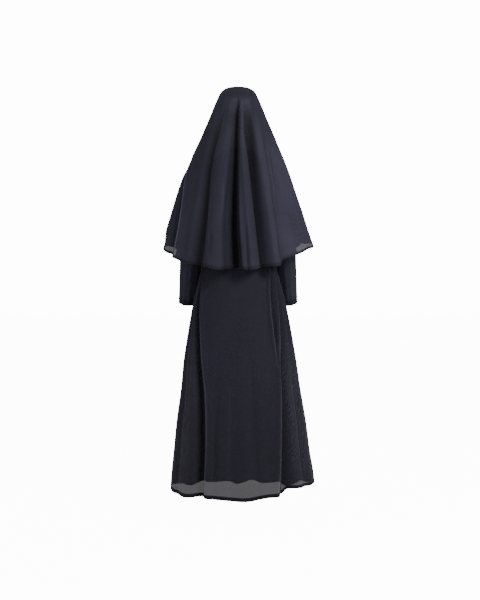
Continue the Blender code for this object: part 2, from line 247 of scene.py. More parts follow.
@dataclass(frozen=True)
class PaintedShading:
    """A stretch of a panel with painted shading: darker as painted shade in a fold, or lighter as a painted highlight
    along a fold's edge.

    Args:
        left: Degrees of its edge towards the wearer's left, at each of PATH_SHARES.
        right: Degrees of its other edge there.
        amount: Share of the colour that is added as painted highlight; negative is darker, as painted shade.
        soft: Degrees over which the left edge and the right edge fade.
        starts: Share of the way down where it begins.
        ends: Share of the way down where it has faded out.
        sets_in: Share of the way down that it takes to set in.
    """

    left: Path
    right: Path
    amount: float
    soft: Span = (1.0, 1.0)
    starts: float = 0.27
    ends: float = 2.0
    sets_in: float = 0.06


@dataclass(frozen=True)
class ClothFinish:
    """How a cloth looks.

    Args:
        colour: Base colour, linear.
        shade: Colour of the darker patches that the base colour varies towards.
        roughness: Of the surface.
        sheen: Weight of the soft edge light of the fibres.
        cover: Opacity of one surface of the cloth.
        threads: Threads across a metre of cloth.
        relief: Strength of the weave's bumps.
        weave: Plain or watered.
    """

    colour: Colour
    shade: Colour
    roughness: float
    sheen: float
    cover: float
    threads: float
    relief: float
    weave: Weave = Weave.PLAIN


VEIL_FINISH = ClothFinish((0.0280, 0.0258, 0.0420), (0.0222, 0.0205, 0.0340), 0.84, 0.07, 0.922, 1500.0, 0.06)
ROBE_FINISH = ClothFinish(
    (0.0206, 0.0188, 0.0305), (0.0188, 0.0170, 0.0265), 0.87, 0.06, 0.922, 1500.0, 0.05, Weave.WATERED
)
SLEEVE_FINISH = ClothFinish((0.0300, 0.0278, 0.0450), (0.0255, 0.0238, 0.0380), 0.87, 0.06, 0.96, 1500.0, 0.10)
HEM_FINISH = ClothFinish((0.008, 0.0075, 0.011), (0.006, 0.006, 0.009), 0.88, 0.04, 0.985, 1500.0, 0.10)
BAND_FINISH = ClothFinish((0.011, 0.011, 0.016), (0.008, 0.008, 0.012), 0.78, 0.10, 0.99, 1400.0, 0.12)
THREAD_FINISH = ClothFinish((0.055, 0.055, 0.068), (0.040, 0.040, 0.050), 0.60, 0.20, 1.0, 4000.0, 0.05)

VEIL_CREASES = (
    # the trough left of the wide middle ridge, with a soft left wall and a steep right one
    Crease((31.5, 31, 35, 32, 31.0), 8.5, 5.2, 0.030, 0.27, sets_in=0.20, at_start=0.30, square=2.6),
    # the deep middle trough and the half-shaded shelf on its left
    Crease((1.8, 2.0, 3.0, 3.2, 1.0), 4.6, 3.4, 0.060, 0.255, sets_in=0.16, at_start=0.42, square=3.6),
    Crease((8, 8, 10.5, 11.5, 9.2), 3.4, 3.8, 0.012, 0.46, sets_in=0.20, at_start=0.30, square=3.0),
    # the trough right of the narrow ridge, steep on its left
    Crease((-30, -14.5, -15.6, -18.0, -19.4), 5.0, 8.0, 0.050, 0.265, sets_in=0.18, at_start=0.30, square=2.8),
    # the drop from the right ridge to the smooth right panel
    Crease((-50, -49, -44.5, -41.0, -39.4), 6.5, 12.0, 0.018, 0.40, sets_in=0.20, at_start=0.30, square=2.2),
    # the ridges stand proud
    Crease((-5.0, -4.8, -6.0, -8.2, -10.2), 3.0, 3.4, -0.012, 0.26, sets_in=0.05, at_start=0.62),
    Crease((18, 17, 21.0, 20, 18.4), 7.0, 6.0, -0.008, 0.27, sets_in=0.06, at_start=0.50),
    Crease((-34, -33, -30.4, -27.6, -27.0), 5.0, 4.6, -0.012, 0.27, sets_in=0.08, at_start=0.40),
    # the strip beyond the sharp left fold, and the fold's bright edge
    Crease((92, 92, 91, 67.5, 61.5), 4.0, 4.0, 0.012, 0.56, sets_in=0.08, at_start=0.60, square=3.0),
    Crease((84, 84, 83, 60.6, 54.6), 2.2, 2.8, -0.0080, 0.56, sets_in=0.08, at_start=0.8),
    Crease((97, 97, 97, 88.0, 86.0), 10.0, 8.0, -0.013, 0.40, 0.98, sets_in=0.20, at_start=0.9),
    # soft waves of the side panels
    Crease((-64, -62, -60, -56, -54), 5.0, 7.0, 0.005, 0.45, sets_in=0.25, at_start=0.5),
    Crease((-76, -76, -74, -70, -68), 6.0, 6.0, 0.008, 0.62, sets_in=0.25, at_start=0.3),
    Crease((52, 52, 53, 50, 46), 5.0, 6.0, 0.006, 0.50, sets_in=0.25, at_start=0.3),
    # drag lines of the right shoulder
    Crease((-61, -56, -47, -44, -43), 1.5, 1.5, 0.0045, 0.50, 0.72, sets_in=0.08, at_start=0.9),
    Crease((-66, -60, -52, -47, -45), 1.2, 1.4, 0.0040, 0.60, 0.80, sets_in=0.08, at_start=0.9),
    Crease((-56, -52, -45, -41.5, -40), 1.1, 1.2, 0.0040, 0.70, 0.84, sets_in=0.06, at_start=0.9),
    # small bruises in the ridges near the hem
    Crease((24, 24, 24, 24.0, 19.5), 1.2, 1.5, 0.0050, 0.84, 0.93, sets_in=0.04, at_start=0.9),
    Crease((12, 12, 15, 14.5, 13.0), 1.4, 1.2, 0.0040, 0.64, 0.80, sets_in=0.06, at_start=0.9),
    Crease((-7, -7, -6, -6.5, -7.6), 1.3, 1.5, 0.0045, 0.80, 1.2, sets_in=0.06, at_start=0.8),
    Crease((30, 30, 27, 24.5, 23.5), 1.2, 1.2, 0.0030, 0.70, 0.86, sets_in=0.06, at_start=0.9),
    # the front falls, over the shoulders
    Crease((104, 106, 107, 108, 108), 9, 9, 0.024, 0.62, sets_in=0.15, at_start=0.25),
    Crease((-100, -102, -106, -108, -110), 8, 8, 0.028, 0.62, sets_in=0.15, at_start=0.25),
    Crease((132, 132, 132, 133, 134), 7, 7, 0.018, 0.58, sets_in=0.15, at_start=0.25),
    Crease((-134, -134, -136, -136, -136), 7, 7, 0.016, 0.58, sets_in=0.15, at_start=0.25),
    Crease((119, 119, 120, 121, 122), 4, 5, -0.008, 0.66, sets_in=0.15, at_start=0.3),
    Crease((-122, -122, -122, -123, -124), 5, 4, -0.008, 0.66, sets_in=0.15, at_start=0.3),
    Crease((94, 94, 92, 90, 88), 4, 6, 0.006, 0.70, sets_in=0.15, at_start=0.3),
)
VEIL_LAPS = (
    Lap((-8, -8, -11.2, -14.6, -16.8), 2.2, -0.0060),
    Lap((-41, -40, -36.0, -33.6, -32.4), 2.2, -0.0055, 0.45),
    Lap((26, 26, 31.8, 26.8, 25.6), 2.2, 0.0060),
    Lap((84, 84, 82.6, 60.2, 54.2), 2.0, 0.0050, 0.64),
)
# Painted light and shade in the veil's colour
VEIL_PAINTED_SHADING = (
    # painted shade in the troughs: left, the half-shaded shelf, middle, right
    PaintedShading((40, 40.5, 41.5, 39.0, 38.0), (25.4, 25.5, 31.2, 27.0, 25.6), -0.62, (10.0, 0.9), 0.27, sets_in=0.30),
    PaintedShading((9.2, 9.0, 11.6, 13.8, 11.3), (5, 5.0, 5.8, 6.8, 4.6), -0.42, (2.0, 1.4), 0.34, sets_in=0.20),
    PaintedShading((4.6, 5.0, 6.4, 7.3, 5.2), (-1.6, -1.4, -0.5, -1.1, -3.2), -0.80, (2.2, 0.5), 0.258, sets_in=0.26),
    PaintedShading((-26, -8.0, -11.2, -14.6, -16.8), (-36, -26.5, -23.8, -22.0, -21.8), -0.78, (0.6, 7.0), 0.275, sets_in=0.30),
    PaintedShading((-39.4, -39.2, -35.4, -33.1, -31.9), (-44, -43, -39.0, -36.0, -34.6), -0.26, (0.6, 4.0), 0.44, sets_in=0.2),
    # painted highlights where the ridges face up and along the left fold's edge, with painted shade outside that edge
    PaintedShading((-1.4, -1.4, -0.6, -1.3, -3.4), (-7.2, -7.4, -11.0, -14.4, -16.6), 0.16, (0.6, 0.6), 0.28),
    PaintedShading((-36, -28, -26.2, -24.0, -23.6), (-44.0, -39.0, -35.2, -33.0, -31.8), 0.34, (4.0, 0.6), 0.30, sets_in=0.2),
    PaintedShading((84.6, 84.6, 83.8, 61.3, 55.5), (83.0, 83.0, 82.0, 59.6, 53.8), 2.60, (0.9, 0.9), 0.60),
    PaintedShading((96, 96, 95, 70, 64), (84.8, 84.8, 84.0, 61.5, 55.7), -0.35, (4.0, 0.8), 0.60),
    # painted highlights where the loops' tops catch the light, with painted shade below them and over the foot of the
    # crown
    PaintedShading((20.5,) * 5, (1.2,) * 5, 0.30, (6.0, 1.6), 0.264, 0.38, 0.016),
    PaintedShading((16.0,) * 5, (6.0,) * 5, -0.16, (5.0, 3.0), 0.290, 0.46, 0.03),
    PaintedShading((-3.0,) * 5, (-26.0,) * 5, 0.30, (1.6, 8.0), 0.262, 0.38, 0.016),
    PaintedShading((-10.0,) * 5, (-24.0,) * 5, -0.16, (3.0, 5.0), 0.290, 0.46, 0.03),
    PaintedShading((40,) * 5, (-40,) * 5, -0.24, (20.0, 20.0), 0.12, 0.28, 0.12),
    # painted light on the right panel, which lies open to the light
    PaintedShading((-44, -44, -40, -38, -37), (-150,) * 5, 0.42, (16.0, 20.0), 0.34, sets_in=0.3),
    # painted shade along the drag lines towards the right shoulder
    PaintedShading((-58.6, -54.6, -46.4, -43.4, -42), (-60.0, -56.0, -47.6, -44.6, -43), -0.30, (0.8, 1.8), 0.50, 0.76),
    PaintedShading((-63.4, -57.4, -50.4, -46.4, -45), (-64.6, -58.6, -51.4, -47.4, -46), -0.22, (0.7, 1.6), 0.56, 0.76),
    # painted shade over the doubled, turned edge
    PaintedShading((190,) * 5, (-190,) * 5, -0.45, starts=0.978, sets_in=0.008),
    # painted shade and a painted highlight along small bruises
    PaintedShading((24.6, 24.6, 24.6, 24.6, 20.2), (23.0, 23, 23, 23.0, 18.6), -0.34, (0.8, 0.8), 0.84, 0.96),
    PaintedShading((12.8, 12.8, 15.8, 15.3, 13.8), (11.6, 11.6, 14.4, 13.9, 12.4), 0.34, (0.8, 0.8), 0.64, 0.80),
    PaintedShading((-5.6, -5.6, -5.4, -5.8, -6.8), (-6.8, -6.8, -6.6, -7.0, -8.2), -0.38, (0.7, 0.7), 0.80),
)

ROBE_BACK_CREASES = (
    # the gutter outside the bright left fold line, steep on its right
    Crease((90, 84, 65, 36.0, 31.4), 6.5, 4.2, 0.028, 0.46, sets_in=0.12, at_start=0.50, square=2.6),
    Crease((86, 80, 58.5, 28.6, 26.6), 3.0, 3.4, -0.007, 0.46, sets_in=0.12, at_start=0.8),
    # the two soft ridges on the right, and the step outside the second
    Crease((-80, -76, -41.0, -35.4, -34), 2.6, 3.4, -0.008, 0.44, 0.78, sets_in=0.06, at_start=1.0),
    Crease((-84, -80, -47.0, -39.5, -37), 2.8, 3.4, 0.009, 0.46, 0.80, sets_in=0.08, at_start=1.0),
    Crease((-84, -80, -55.6, -34.0, -23.4), 2.6, 3.2, -0.008, 0.48, sets_in=0.10, at_start=0.9),
    Crease((-90, -86, -63.0, -41.5, -30.6), 4.2, 8.0, 0.030, 0.50, sets_in=0.12, at_start=0.45, square=2.4),
    # side panels
    Crease((-80, -78, -74, -61, -57), 4.0, 5.0, 0.012, 0.55, sets_in=0.15, at_start=0.4),
    Crease((-84, -84, -80, -70, -66), 4.0, 4.0, -0.005, 0.55, sets_in=0.15, at_start=0.4),
    Crease((86, 84, 80, 68, 64), 5.0, 6.0, 0.010, 0.50, sets_in=0.15, at_start=0.4),
    Crease((82, 80, 70, 56, 50), 4.0, 5.0, -0.006, 0.55, sets_in=0.15, at_start=0.4),
    # the middle is nearly smooth
    Crease((24, 24, 24, 20.0, 19.2), 3.2, 3.2, 0.0050, 0.66, sets_in=0.20, at_start=0.5),
    Crease((8, 8, 7, 7.5, 8.5), 5.0, 5.0, 0.0045, 0.70, sets_in=0.20, at_start=0.4),
    Crease((-8, -8, -9, -10, -11), 5.0, 6.0, 0.0050, 0.68, sets_in=0.20, at_start=0.4),
    Crease((0, 0, -2, -1, -1), 3.0, 4.0, -0.0035, 0.58, sets_in=0.20, at_start=0.4),
    Crease((-20, -20, -20, -19, -19), 4.0, 4.0, 0.0040, 0.74, sets_in=0.15, at_start=0.4),
    Crease((14, 14, 14, 13, 13.5), 1.4, 1.6, 0.0026, 0.88, sets_in=0.05, at_start=0.5),
    Crease((2, 2, 2, 3, 4.5), 1.6, 1.4, 0.0026, 0.90, sets_in=0.05, at_start=0.5),
)
ROBE_BACK_LAPS = (
    Lap((86, 80, 60.5, 30.6, 28.2), 2.4, 0.0050, 0.48),
    Lap((-84, -80, -58.0, -36.4, -25.6), 2.4, -0.0055, 0.50),
)
ROBE_FRONT_PAINTED_SHADING = (
    # painted shade over the doubled hem and in the two deep troughs
    PaintedShading((94,) * 5, (-94,) * 5, -0.50, starts=0.978, sets_in=0.010),
    PaintedShading((56, 53, 50, 46, 42), (44, 41, 38, 34, 30), -0.40, (4.0, 2.0), 0.40),
    PaintedShading((-40, -38, -35, -33, -32), (-52, -50, -47, -45, -44), -0.40, (2.0, 4.0), 0.38),
)
ROBE_BACK_PAINTED_SHADING = (
    # painted highlight along the left fold's edge, and painted shade in the gutter outside it
    PaintedShading((86, 80, 60.2, 30.2, 28.0), (85, 79, 58.6, 28.6, 26.6), 1.90, (0.7, 0.9), 0.50),
    PaintedShading((94, 88, 70.0, 40.6, 35.6), (86, 80, 60.4, 30.4, 28.2), -0.65, (5.0, 0.5), 0.50),
    # painted highlights along the edges of the two right folds, with painted shade beside them
    PaintedShading((-80, -76.4, -41.6, -36.0, -34), (-81, -77.4, -42.8, -37.2, -35), 1.60, (0.9, 0.7), 0.48, 0.76),
    PaintedShading((-82, -77.6, -43.0, -37.4, -35), (-88, -84, -49, -41, -38), -0.30, (0.5, 4.0), 0.50, 0.80),
    PaintedShading((-84, -79.6, -56.4, -34.6, -23.8), (-85, -80.8, -57.6, -35.8, -25.0), 1.60, (0.9, 0.7), 0.56),
    PaintedShading((-86, -81.0, -57.8, -36.0, -25.2), (-95, -92, -66, -45, -33), -0.55, (0.5, 6.0), 0.56),
    # painted shade over the doubled hem
    PaintedShading((90.5,) * 5, (-90.5,) * 5, -0.50, starts=0.978, sets_in=0.010),
    # painted shade on the foot, as the upper part catches more light
    PaintedShading((90,) * 5, (-90,) * 5, -0.22, (1.0, 1.0), 0.62, sets_in=0.36),
    # painted shade and painted highlights along creases low in the middle and on the side panels
    PaintedShading((20.4, 20.4, 20.4, 20.2, 19.6), (19.0, 19.0, 19.0, 18.8, 18.2), -0.25, (0.8, 2.0), 0.80, 0.97),
    PaintedShading((8.6, 8.6, 8.6, 8.8, 10.0), (6.0, 6.0, 6.0, 6.4, 7.4), 0.14, (2.0, 2.0), 0.76),
    PaintedShading((-8.0, -8.0, -8.0, -9.0, -10.0), (-10.0, -10.0, -10.0, -11.0, -12.0), -0.16, (2.0, 2.0), 0.72),
    PaintedShading((-64.0, -64.0, -64.0, -60.6, -56.0), (-65.4, -65.4, -65.4, -62.0, -57.4), -0.35, (1.0, 2.0), 0.70),
    PaintedShading((-61.5, -61.5, -61.5, -58.0, -53.6), (-63.2, -63.2, -63.2, -59.8, -55.4), 0.35, (1.6, 0.8), 0.70),
    PaintedShading((58, 58, 58, 55.0, 51.0), (56, 56, 56, 53.2, 49.4), 0.25, (1.4, 1.4), 0.70),
)
ROBE_FRONT_CREASES = (
    Crease((48, 45, 42, 38, 34), 6.0, 4.5, 0.026, 0.40, sets_in=0.12, at_start=0.35, square=2.3),
    Crease((-44, -42, -39, -37, -36), 4.5, 6.5, 0.030, 0.38, sets_in=0.12, at_start=0.35, square=2.3),
    Crease((4, 4, 2, 4, 6), 8, 8, 0.014, 0.50, sets_in=0.15, at_start=0.35),
    Crease((68, 67, 65, 62, 60), 7, 7, 0.012, 0.50, sets_in=0.15, at_start=0.4),
    Crease((-70, -68, -65, -63, -62), 7, 7, 0.010, 0.55, sets_in=0.15, at_start=0.4),
    Crease((38, 36, 34, 30, 26), 3.0, 3.6, -0.007, 0.42, sets_in=0.15, at_start=0.7),
    Crease((-36, -34, -31, -29, -28), 3.4, 3.0, -0.007, 0.40, sets_in=0.15, at_start=0.7),
    Crease((20, 20, 18, 18, 17), 4, 4, 0.005, 0.60, sets_in=0.15, at_start=0.5),
    Crease((-16, -16, -17, -16, -15), 4, 5, 0.005, 0.62, sets_in=0.15, at_start=0.5),
    Crease((52, 52, 52, 50, 48), 3, 4, -0.005, 0.55, sets_in=0.15, at_start=0.5),
    Crease((-54, -54, -52, -50, -49), 4, 3, -0.005, 0.55, sets_in=0.15, at_start=0.5),
)
SLEEVE_PAINTED_SHADING = (
    # painted shade over the doubled cuff, a painted highlight at the back, painted shade towards the inner side and
    # painted light towards the outer side
    PaintedShading((190,) * 5, (-190,) * 5, -0.50, starts=0.950, sets_in=0.014),
    PaintedShading((97, 97, 96, 92, 88), (90, 90, 89, 85, 81), 0.18, (4.0, 6.0), 0.45),
    PaintedShading((140, 140, 138, 134, 130), (104, 104, 102, 98, 94), -0.22, (16.0, 8.0), 0.45),
    PaintedShading((36, 34, 32, 30, 28), (10, 10, 8, 8, 8), 0.20, (12.0, 10.0), 0.50),
)
# Round a sleeve 0 degrees is its outermost side, and 90 is at the back.
SLEEVE_CREASES = (
    Crease((60, 58, 52, 48, 44), 12, 12, 0.0028, 0.45, sets_in=0.2, at_start=0.5),
    Crease((80, 78, 74, 70, 66), 10, 10, -0.0020, 0.45, sets_in=0.2, at_start=0.5),
    Crease((122, 120, 118, 114, 112), 14, 14, 0.0032, 0.50, sets_in=0.2, at_start=0.4),
    Crease((-60, -58, -56, -60, -62), 10, 10, 0.0050, 0.40, sets_in=0.2, at_start=0.5),
    Crease((-110, -112, -114, -116, -120), 10, 10, 0.0045, 0.45, sets_in=0.2, at_start=0.5),
    Crease((20, 12, 4, 8, 10), 10, 10, 0.0020, 0.40, 0.86, sets_in=0.2, at_start=0.8),
)


def smooth(share: Array) -> Array:
    """Eases a share from 0 to 1, with numbers outside those held at them."""
    share = np.clip(share, 0.0, 1.0)
    return share * share * (3.0 - 2.0 * share)


def mix(start: Array | float, end: Array | float, share: Array | float) -> Array | float:
    """The number or array at a share of the way from start to end."""
    return start + (end - start) * share


def part_way(places: Array, span: Span) -> Array:
    """How far places are from the start of a span to its end, eased."""
    return smooth((places - span[0]) / (span[1] - span[0]))


def unit(directions: Array) -> Array:
    """Rows of directions, each brought to a length of one."""
    return directions / np.maximum(np.linalg.norm(directions, axis=1), 1e-9)[:, None]


def table_at(table: Array, places: Array) -> list[Array]:
    """The rows of a table at fractional places, eased through with a smooth curve.

    Args:
        table: Rows by columns.
        places: Array of places, counted in rows.

    Returns:
        A list with an array for each column.
    """
    last = len(table) - 1
    first = np.clip(places.astype(int), 0, last - 1)
    share = (places - first)[:, None]
    before, start = table[np.maximum(first - 1, 0)], table[first]
    end, after = table[first + 1], table[np.minimum(first + 2, last)]
    in_slope, out_slope = (end - before) / 2.0, (after - start) / 2.0
    squared, cubed = share * share, share * share * share
    rows = (
        start * (2.0 * cubed - 3.0 * squared + 1.0)
        + in_slope * (cubed - 2.0 * squared + share)
        + end * (3.0 * squared - 2.0 * cubed)
        + out_slope * (cubed - squared)
    )
    return list(rows.T)


def path_at(path: Path, down: Array) -> Array:
    """The angle of a crease's path at shares of the way down, eased through its columns.

    Args:
        path: Degrees at each of PATH_SHARES.
        down: Shares of the way down.

    Returns:
        The angles in degrees.
    """
    first, step = PATH_SHARES[0], PATH_SHARES[1] - PATH_SHARES[0]
    places = (np.clip(down, first, PATH_SHARES[-1]) - first) / step
    return table_at(np.array(path, dtype=float)[:, None], places)[0]


def crease_depth(creases: tuple[Crease, ...], angle: Array, down: Array) -> Array:
    """How far the creases set the cloth in.

    Args:
        creases: The panel's creases.
        angle: Degrees round the section.
        down: Shares of the way down.

    Returns:
        The depths in metres, below 0 where a ridge stands out.
    """
    depth = np.zeros_like(angle)
    for crease in creases:
        off = angle - path_at(crease.path, down)
        width = np.where(off > 0.0, crease.left, crease.right)
        begun = smooth((down - crease.starts) / crease.sets_in)
        grown = mix(crease.at_start, 1.0, smooth((down - FOLDS_GROW_FROM) / (1.0 - FOLDS_GROW_FROM)))
        ended = 1.0 - smooth((down - crease.ends + CREASE_FADE) / CREASE_FADE)
        profile = np.exp(-np.abs(off / width) ** crease.square)
        depth += crease.depth * begun * grown * ended * profile
    return depth


def lap_reach(laps: tuple[Lap, ...], angle: Array, down: Array) -> Array:
    """How far the laps draw the cloth along.

    Args:
        laps: The panel's laps.
        angle: Degrees round the section.
        down: Shares of the way down.

    Returns:
        The reaches in metres, above 0 towards the wearer's left.
    """
    reach = np.zeros_like(angle)
    for lap in laps:
        off = (angle - path_at(lap.path, down)) / lap.width
        grown = smooth((down - lap.starts) / LAP_GROWS_OVER)
        reach += lap.reach * grown * np.exp(-off * off)
    return reach


def painted_shading_at(painted_shading: tuple[PaintedShading, ...], angle: Array, down: Array) -> Array:
    """How much the painted light and shade change the cloth's colour.

    Args:
        painted_shading: The panel's painted light and shade.
        angle: Degrees round the section.
        down: Shares of the way down.

    Returns:
        The shares that are added to the colour, below 0 where shade is painted.
    """
    shown = np.ones_like(angle)
    for painted_light_and_shade in painted_shading:
        left, right = path_at(painted_light_and_shade.left, down), path_at(painted_light_and_shade.right, down)
        inside = smooth((left - angle) / painted_light_and_shade.soft[0] + 0.5) * smooth((angle - right) / painted_light_and_shade.soft[1] + 0.5)
        begun = smooth((down - painted_light_and_shade.starts) / painted_light_and_shade.sets_in)
        ended = 1.0 - smooth((down - painted_light_and_shade.ends + PAINTED_SHADING_FADE) / PAINTED_SHADING_FADE)
        shown *= 1.0 + painted_light_and_shade.amount * inside * begun * ended
    return shown - 1.0


def hem_rise(table: Array, angle: Array, down: Array) -> Array:
    """How far a hem's uneven edge lifts the cloth.

    Args:
        table: Rows of an angle and the hem's height there.
        angle: Degrees round the section.
        down: Shares of the way down.

    Returns:
        The heights in metres.
    """
    low = np.clip(np.searchsorted(table[:, 0], angle) - 1, 0, len(table) - 2)
    start, end = table[low], table[low + 1]
    share = (angle - start[:, 0]) / (end[:, 0] - start[:, 0])
    height = mix(start[:, 1], end[:, 1], smooth(share))
    return height * smooth(1.0 - (1.0 - down) / HEM_RISE_FADES)


class Form:
    """A surface that cloth lies on, with its creases, for shares across (-1 to 1) and down (0 to 1).

    Its crowding is how much closer a sheet's columns stand in the middle, where the finest creases are.
    """

    crowding: ClassVar[float] = 0.0

    def angle(self, across: Array) -> Array:
        """Degrees round the section of shares across."""
        return across * 90.0

    def points(self, across: Array, down: Array) -> Array:
        """The points of the surface.

        Args:
            across: Shares across.
            down: Shares down, one for each share across.

        Returns:
            The points, a row for each.
        """
        raise NotImplementedError


@dataclass
class SleeveForm(Form):
    """A sleeve from its armhole to its cuff.

    Args:
        side: 1 on the wearer's left and -1 on the right.
        creases: Its creases, in degrees from its outermost side, with 90 at the back.
    """

    side: int
    creases: tuple[Crease, ...] = SLEEVE_CREASES

    def angle(self, across: Array) -> Array:
        """Degrees round the sleeve of shares across."""
        return across * 180.0

    def ring(self, place: Array, angle: Array) -> Array:
        """Points of the sleeve's rings, before creases.

        Args:
            place: Fractional rows of SLEEVE_RINGS.
            angle: Degrees round the ring.

        Returns:
            The points, a row for each.
        """
        outer_x, outer_z, inner_x, inner_z, middle_y, half_depth, lean = table_at(SLEEVE_RINGS, place)
        turn, lean = np.radians(angle), np.radians(lean)
        cos, sin = np.cos(turn), np.sin(turn) * half_depth
        x = self.side * ((outer_x + inner_x) / 2.0 + (outer_x - inner_x) / 2.0 * cos)
        y = middle_y + np.cos(lean) * sin
        z = (outer_z + inner_z) / 2.0 + (outer_z - inner_z) / 2.0 * cos - np.sin(lean) * sin
        return np.stack((x - self.side * SEAM_LAP, y, z), axis=1)

    def points(self, across: Array, down: Array) -> Array:
        """The sleeve with its creases, as points.

        Args:
            across: Shares across.
            down: Shares down, one for each share across.

        Returns:
            The points, a row for each.
        """
        place = down * (len(SLEEVE_RINGS) - 1)
        angle = self.angle(across)
        ring = self.ring(place, angle)
        middle = (self.ring(place, angle * 0.0) + self.ring(place, angle * 0.0 + 180.0)) / 2.0
        return ring + unit(middle - ring) * crease_depth(self.creases, angle, down)[:, None]


@dataclass
class RobeForm(Form):
    """A robe panel from the shoulder seams to the hem.

    Args:
        facing: 1 on the back panel and -1 on the front one.
        creases: Its creases.
        laps: Its laps.
        hem: Rows of an angle and the hem's rise there.
        seam_ease: Degrees inside a side seam over which creases flatten out.
    """

    facing: int
    creases: tuple[Crease, ...]
    laps: tuple[Lap, ...]
    hem: Array
    seam_ease: float = 4.0

    def section(self, place: Array, angle: Array) -> tuple[Array, Array]:
        """The panel below the arms.

        Args:
            place: Fractional rows of ROBE_SECTIONS.
            angle: Degrees round the section.

        Returns:
            The points and their outward directions.
        """
        side_z, half, middle, widest, back, front, back_drop, front_drop, square = table_at(ROBE_SECTIONS, place)
        turn = np.radians(angle)
        power = 2.0 / square
        sides = np.sign(angle) * np.abs(np.sin(turn)) ** power
        away = np.maximum(np.cos(turn), 0.0) ** power
        deep = back if self.facing > 0 else front
        drop = back_drop if self.facing > 0 else front_drop
        points = np.stack((middle + half * sides, mix(widest, deep, away), side_z - drop * np.cos(turn)), axis=1)
        outward = np.stack((np.sin(turn) / half, self.facing * np.cos(turn) / np.abs(deep - widest), turn * 0), axis=1)
        return points, unit(outward)

    def top_edge(self, angle: Array) -> Array:
        """The neckline and shoulder seams.

        Args:
            angle: Degrees round the section.

        Returns:
            The points, a row for each.
        """
        shoulder_x, shoulder_z = SLEEVE_RINGS[0][0], SLEEVE_RINGS[0][1]
        x = shoulder_x * np.sin(np.radians(angle))
        neck_y, neck_z = NECK_BACK if self.facing > 0 else NECK_FRONT
        curve = np.sqrt(np.maximum(1.0 - (x / NECK_HALF_WIDTH) ** 2, 0.0))
        along = np.maximum(np.abs(x) - NECK_HALF_WIDTH, 0.0) / (shoulder_x - NECK_HALF_WIDTH)
        at_neck = np.abs(x) < NECK_HALF_WIDTH
        seam_z = mix(NECK_SIDE_HEIGHT, shoulder_z, along**SHOULDER_SLOPE_POWER)
        y = np.where(at_neck, neck_y * curve, 0.0)
        return np.stack((x, y, np.where(at_neck, mix(NECK_SIDE_HEIGHT, neck_z, curve), seam_z)), axis=1)

    def eased(self, angle: Array, down: Array) -> Array:
        """Points between the top edge and the underarm, before the armholes are cut.

        Args:
            angle: Degrees round the section.
            down: Shares of the way down to the underarm.

        Returns:
            The points, a row for each.
        """
        quarter = down * math.pi / 2.0
        roundness = mix(YOKE_ROUNDNESS, 2.0 / ROBE_SECTIONS[0][8], down**3)
        first = np.zeros_like(angle)
        top, bottom = self.top_edge(angle), self.section(first, angle)[0]
        middle_y = self.section(first, first)[0][:, 1]
        deep_y = middle_y * np.maximum(np.cos(np.radians(angle)), 0.0) ** roundness
        return np.stack((
            mix(top[:, 0], bottom[:, 0], down),
            mix(top[:, 1], deep_y, np.sin(quarter) ** YOKE_SWELL_POWER),
            mix(top[:, 2], bottom[:, 2], 1.0 - np.cos(quarter) ** YOKE_DROP_POWER),
        ), axis=1)

    def yoke(self, angle: Array, down: Array) -> Array:
        """Points above the underarm, which ease out to the armholes at the panel's sides.

        Args:
            angle: Degrees round the section.
            down: Shares of the way down to the underarm.

        Returns:
            The points, a row for each.
        """
        side = np.where(angle < 0.0, -1.0, 1.0)
        turn = np.radians(self.facing * 180.0 * down)
        outer_x, outer_z, inner_x, inner_z, _, half_depth, _ = SLEEVE_RINGS[0]
        armhole = np.stack((
            side * ((outer_x + inner_x) / 2.0 + (outer_x - inner_x) / 2.0 * np.cos(turn)),
            half_depth * np.sin(turn),
            (outer_z + inner_z) / 2.0 + (outer_z - inner_z) / 2.0 * np.cos(turn),
        ), axis=1)
        pull = (np.sin(np.radians(angle)) ** 2)[:, None]
        return self.eased(angle, down) + (armhole - self.eased(90.0 * side, down)) * pull

    def points(self, across: Array, down: Array) -> Array:
        """The panel with its creases, as points.

        Args:
            across: Shares across.
            down: Shares down, one for each share across.

        Returns:
            The points, a row for each.
        """
        angle = self.angle(across)
        row = down * (YOKE_ROWS + len(ROBE_SECTIONS) - 1)
        section, outward = self.section(np.maximum(row - YOKE_ROWS, 0.0), angle)
        upper = self.yoke(angle, np.clip(row / YOKE_ROWS, 0.0, 1.0))
        points = np.where((row <= YOKE_ROWS)[:, None], upper, section)
        seamless = smooth((90.0 - np.abs(angle)) / self.seam_ease)
        depth = crease_depth(self.creases, angle, down) * seamless
        along = np.stack((outward[:, 1] * self.facing, -outward[:, 0] * self.facing, outward[:, 0] * 0), axis=1)
        points = points - outward * depth[:, None] + along * lap_reach(self.laps, angle, down)[:, None]
        points[:, 2] += hem_rise(self.hem, angle, down)
        points[:, 1] -= self.facing * SEAM_LAP / 2.0
        return points


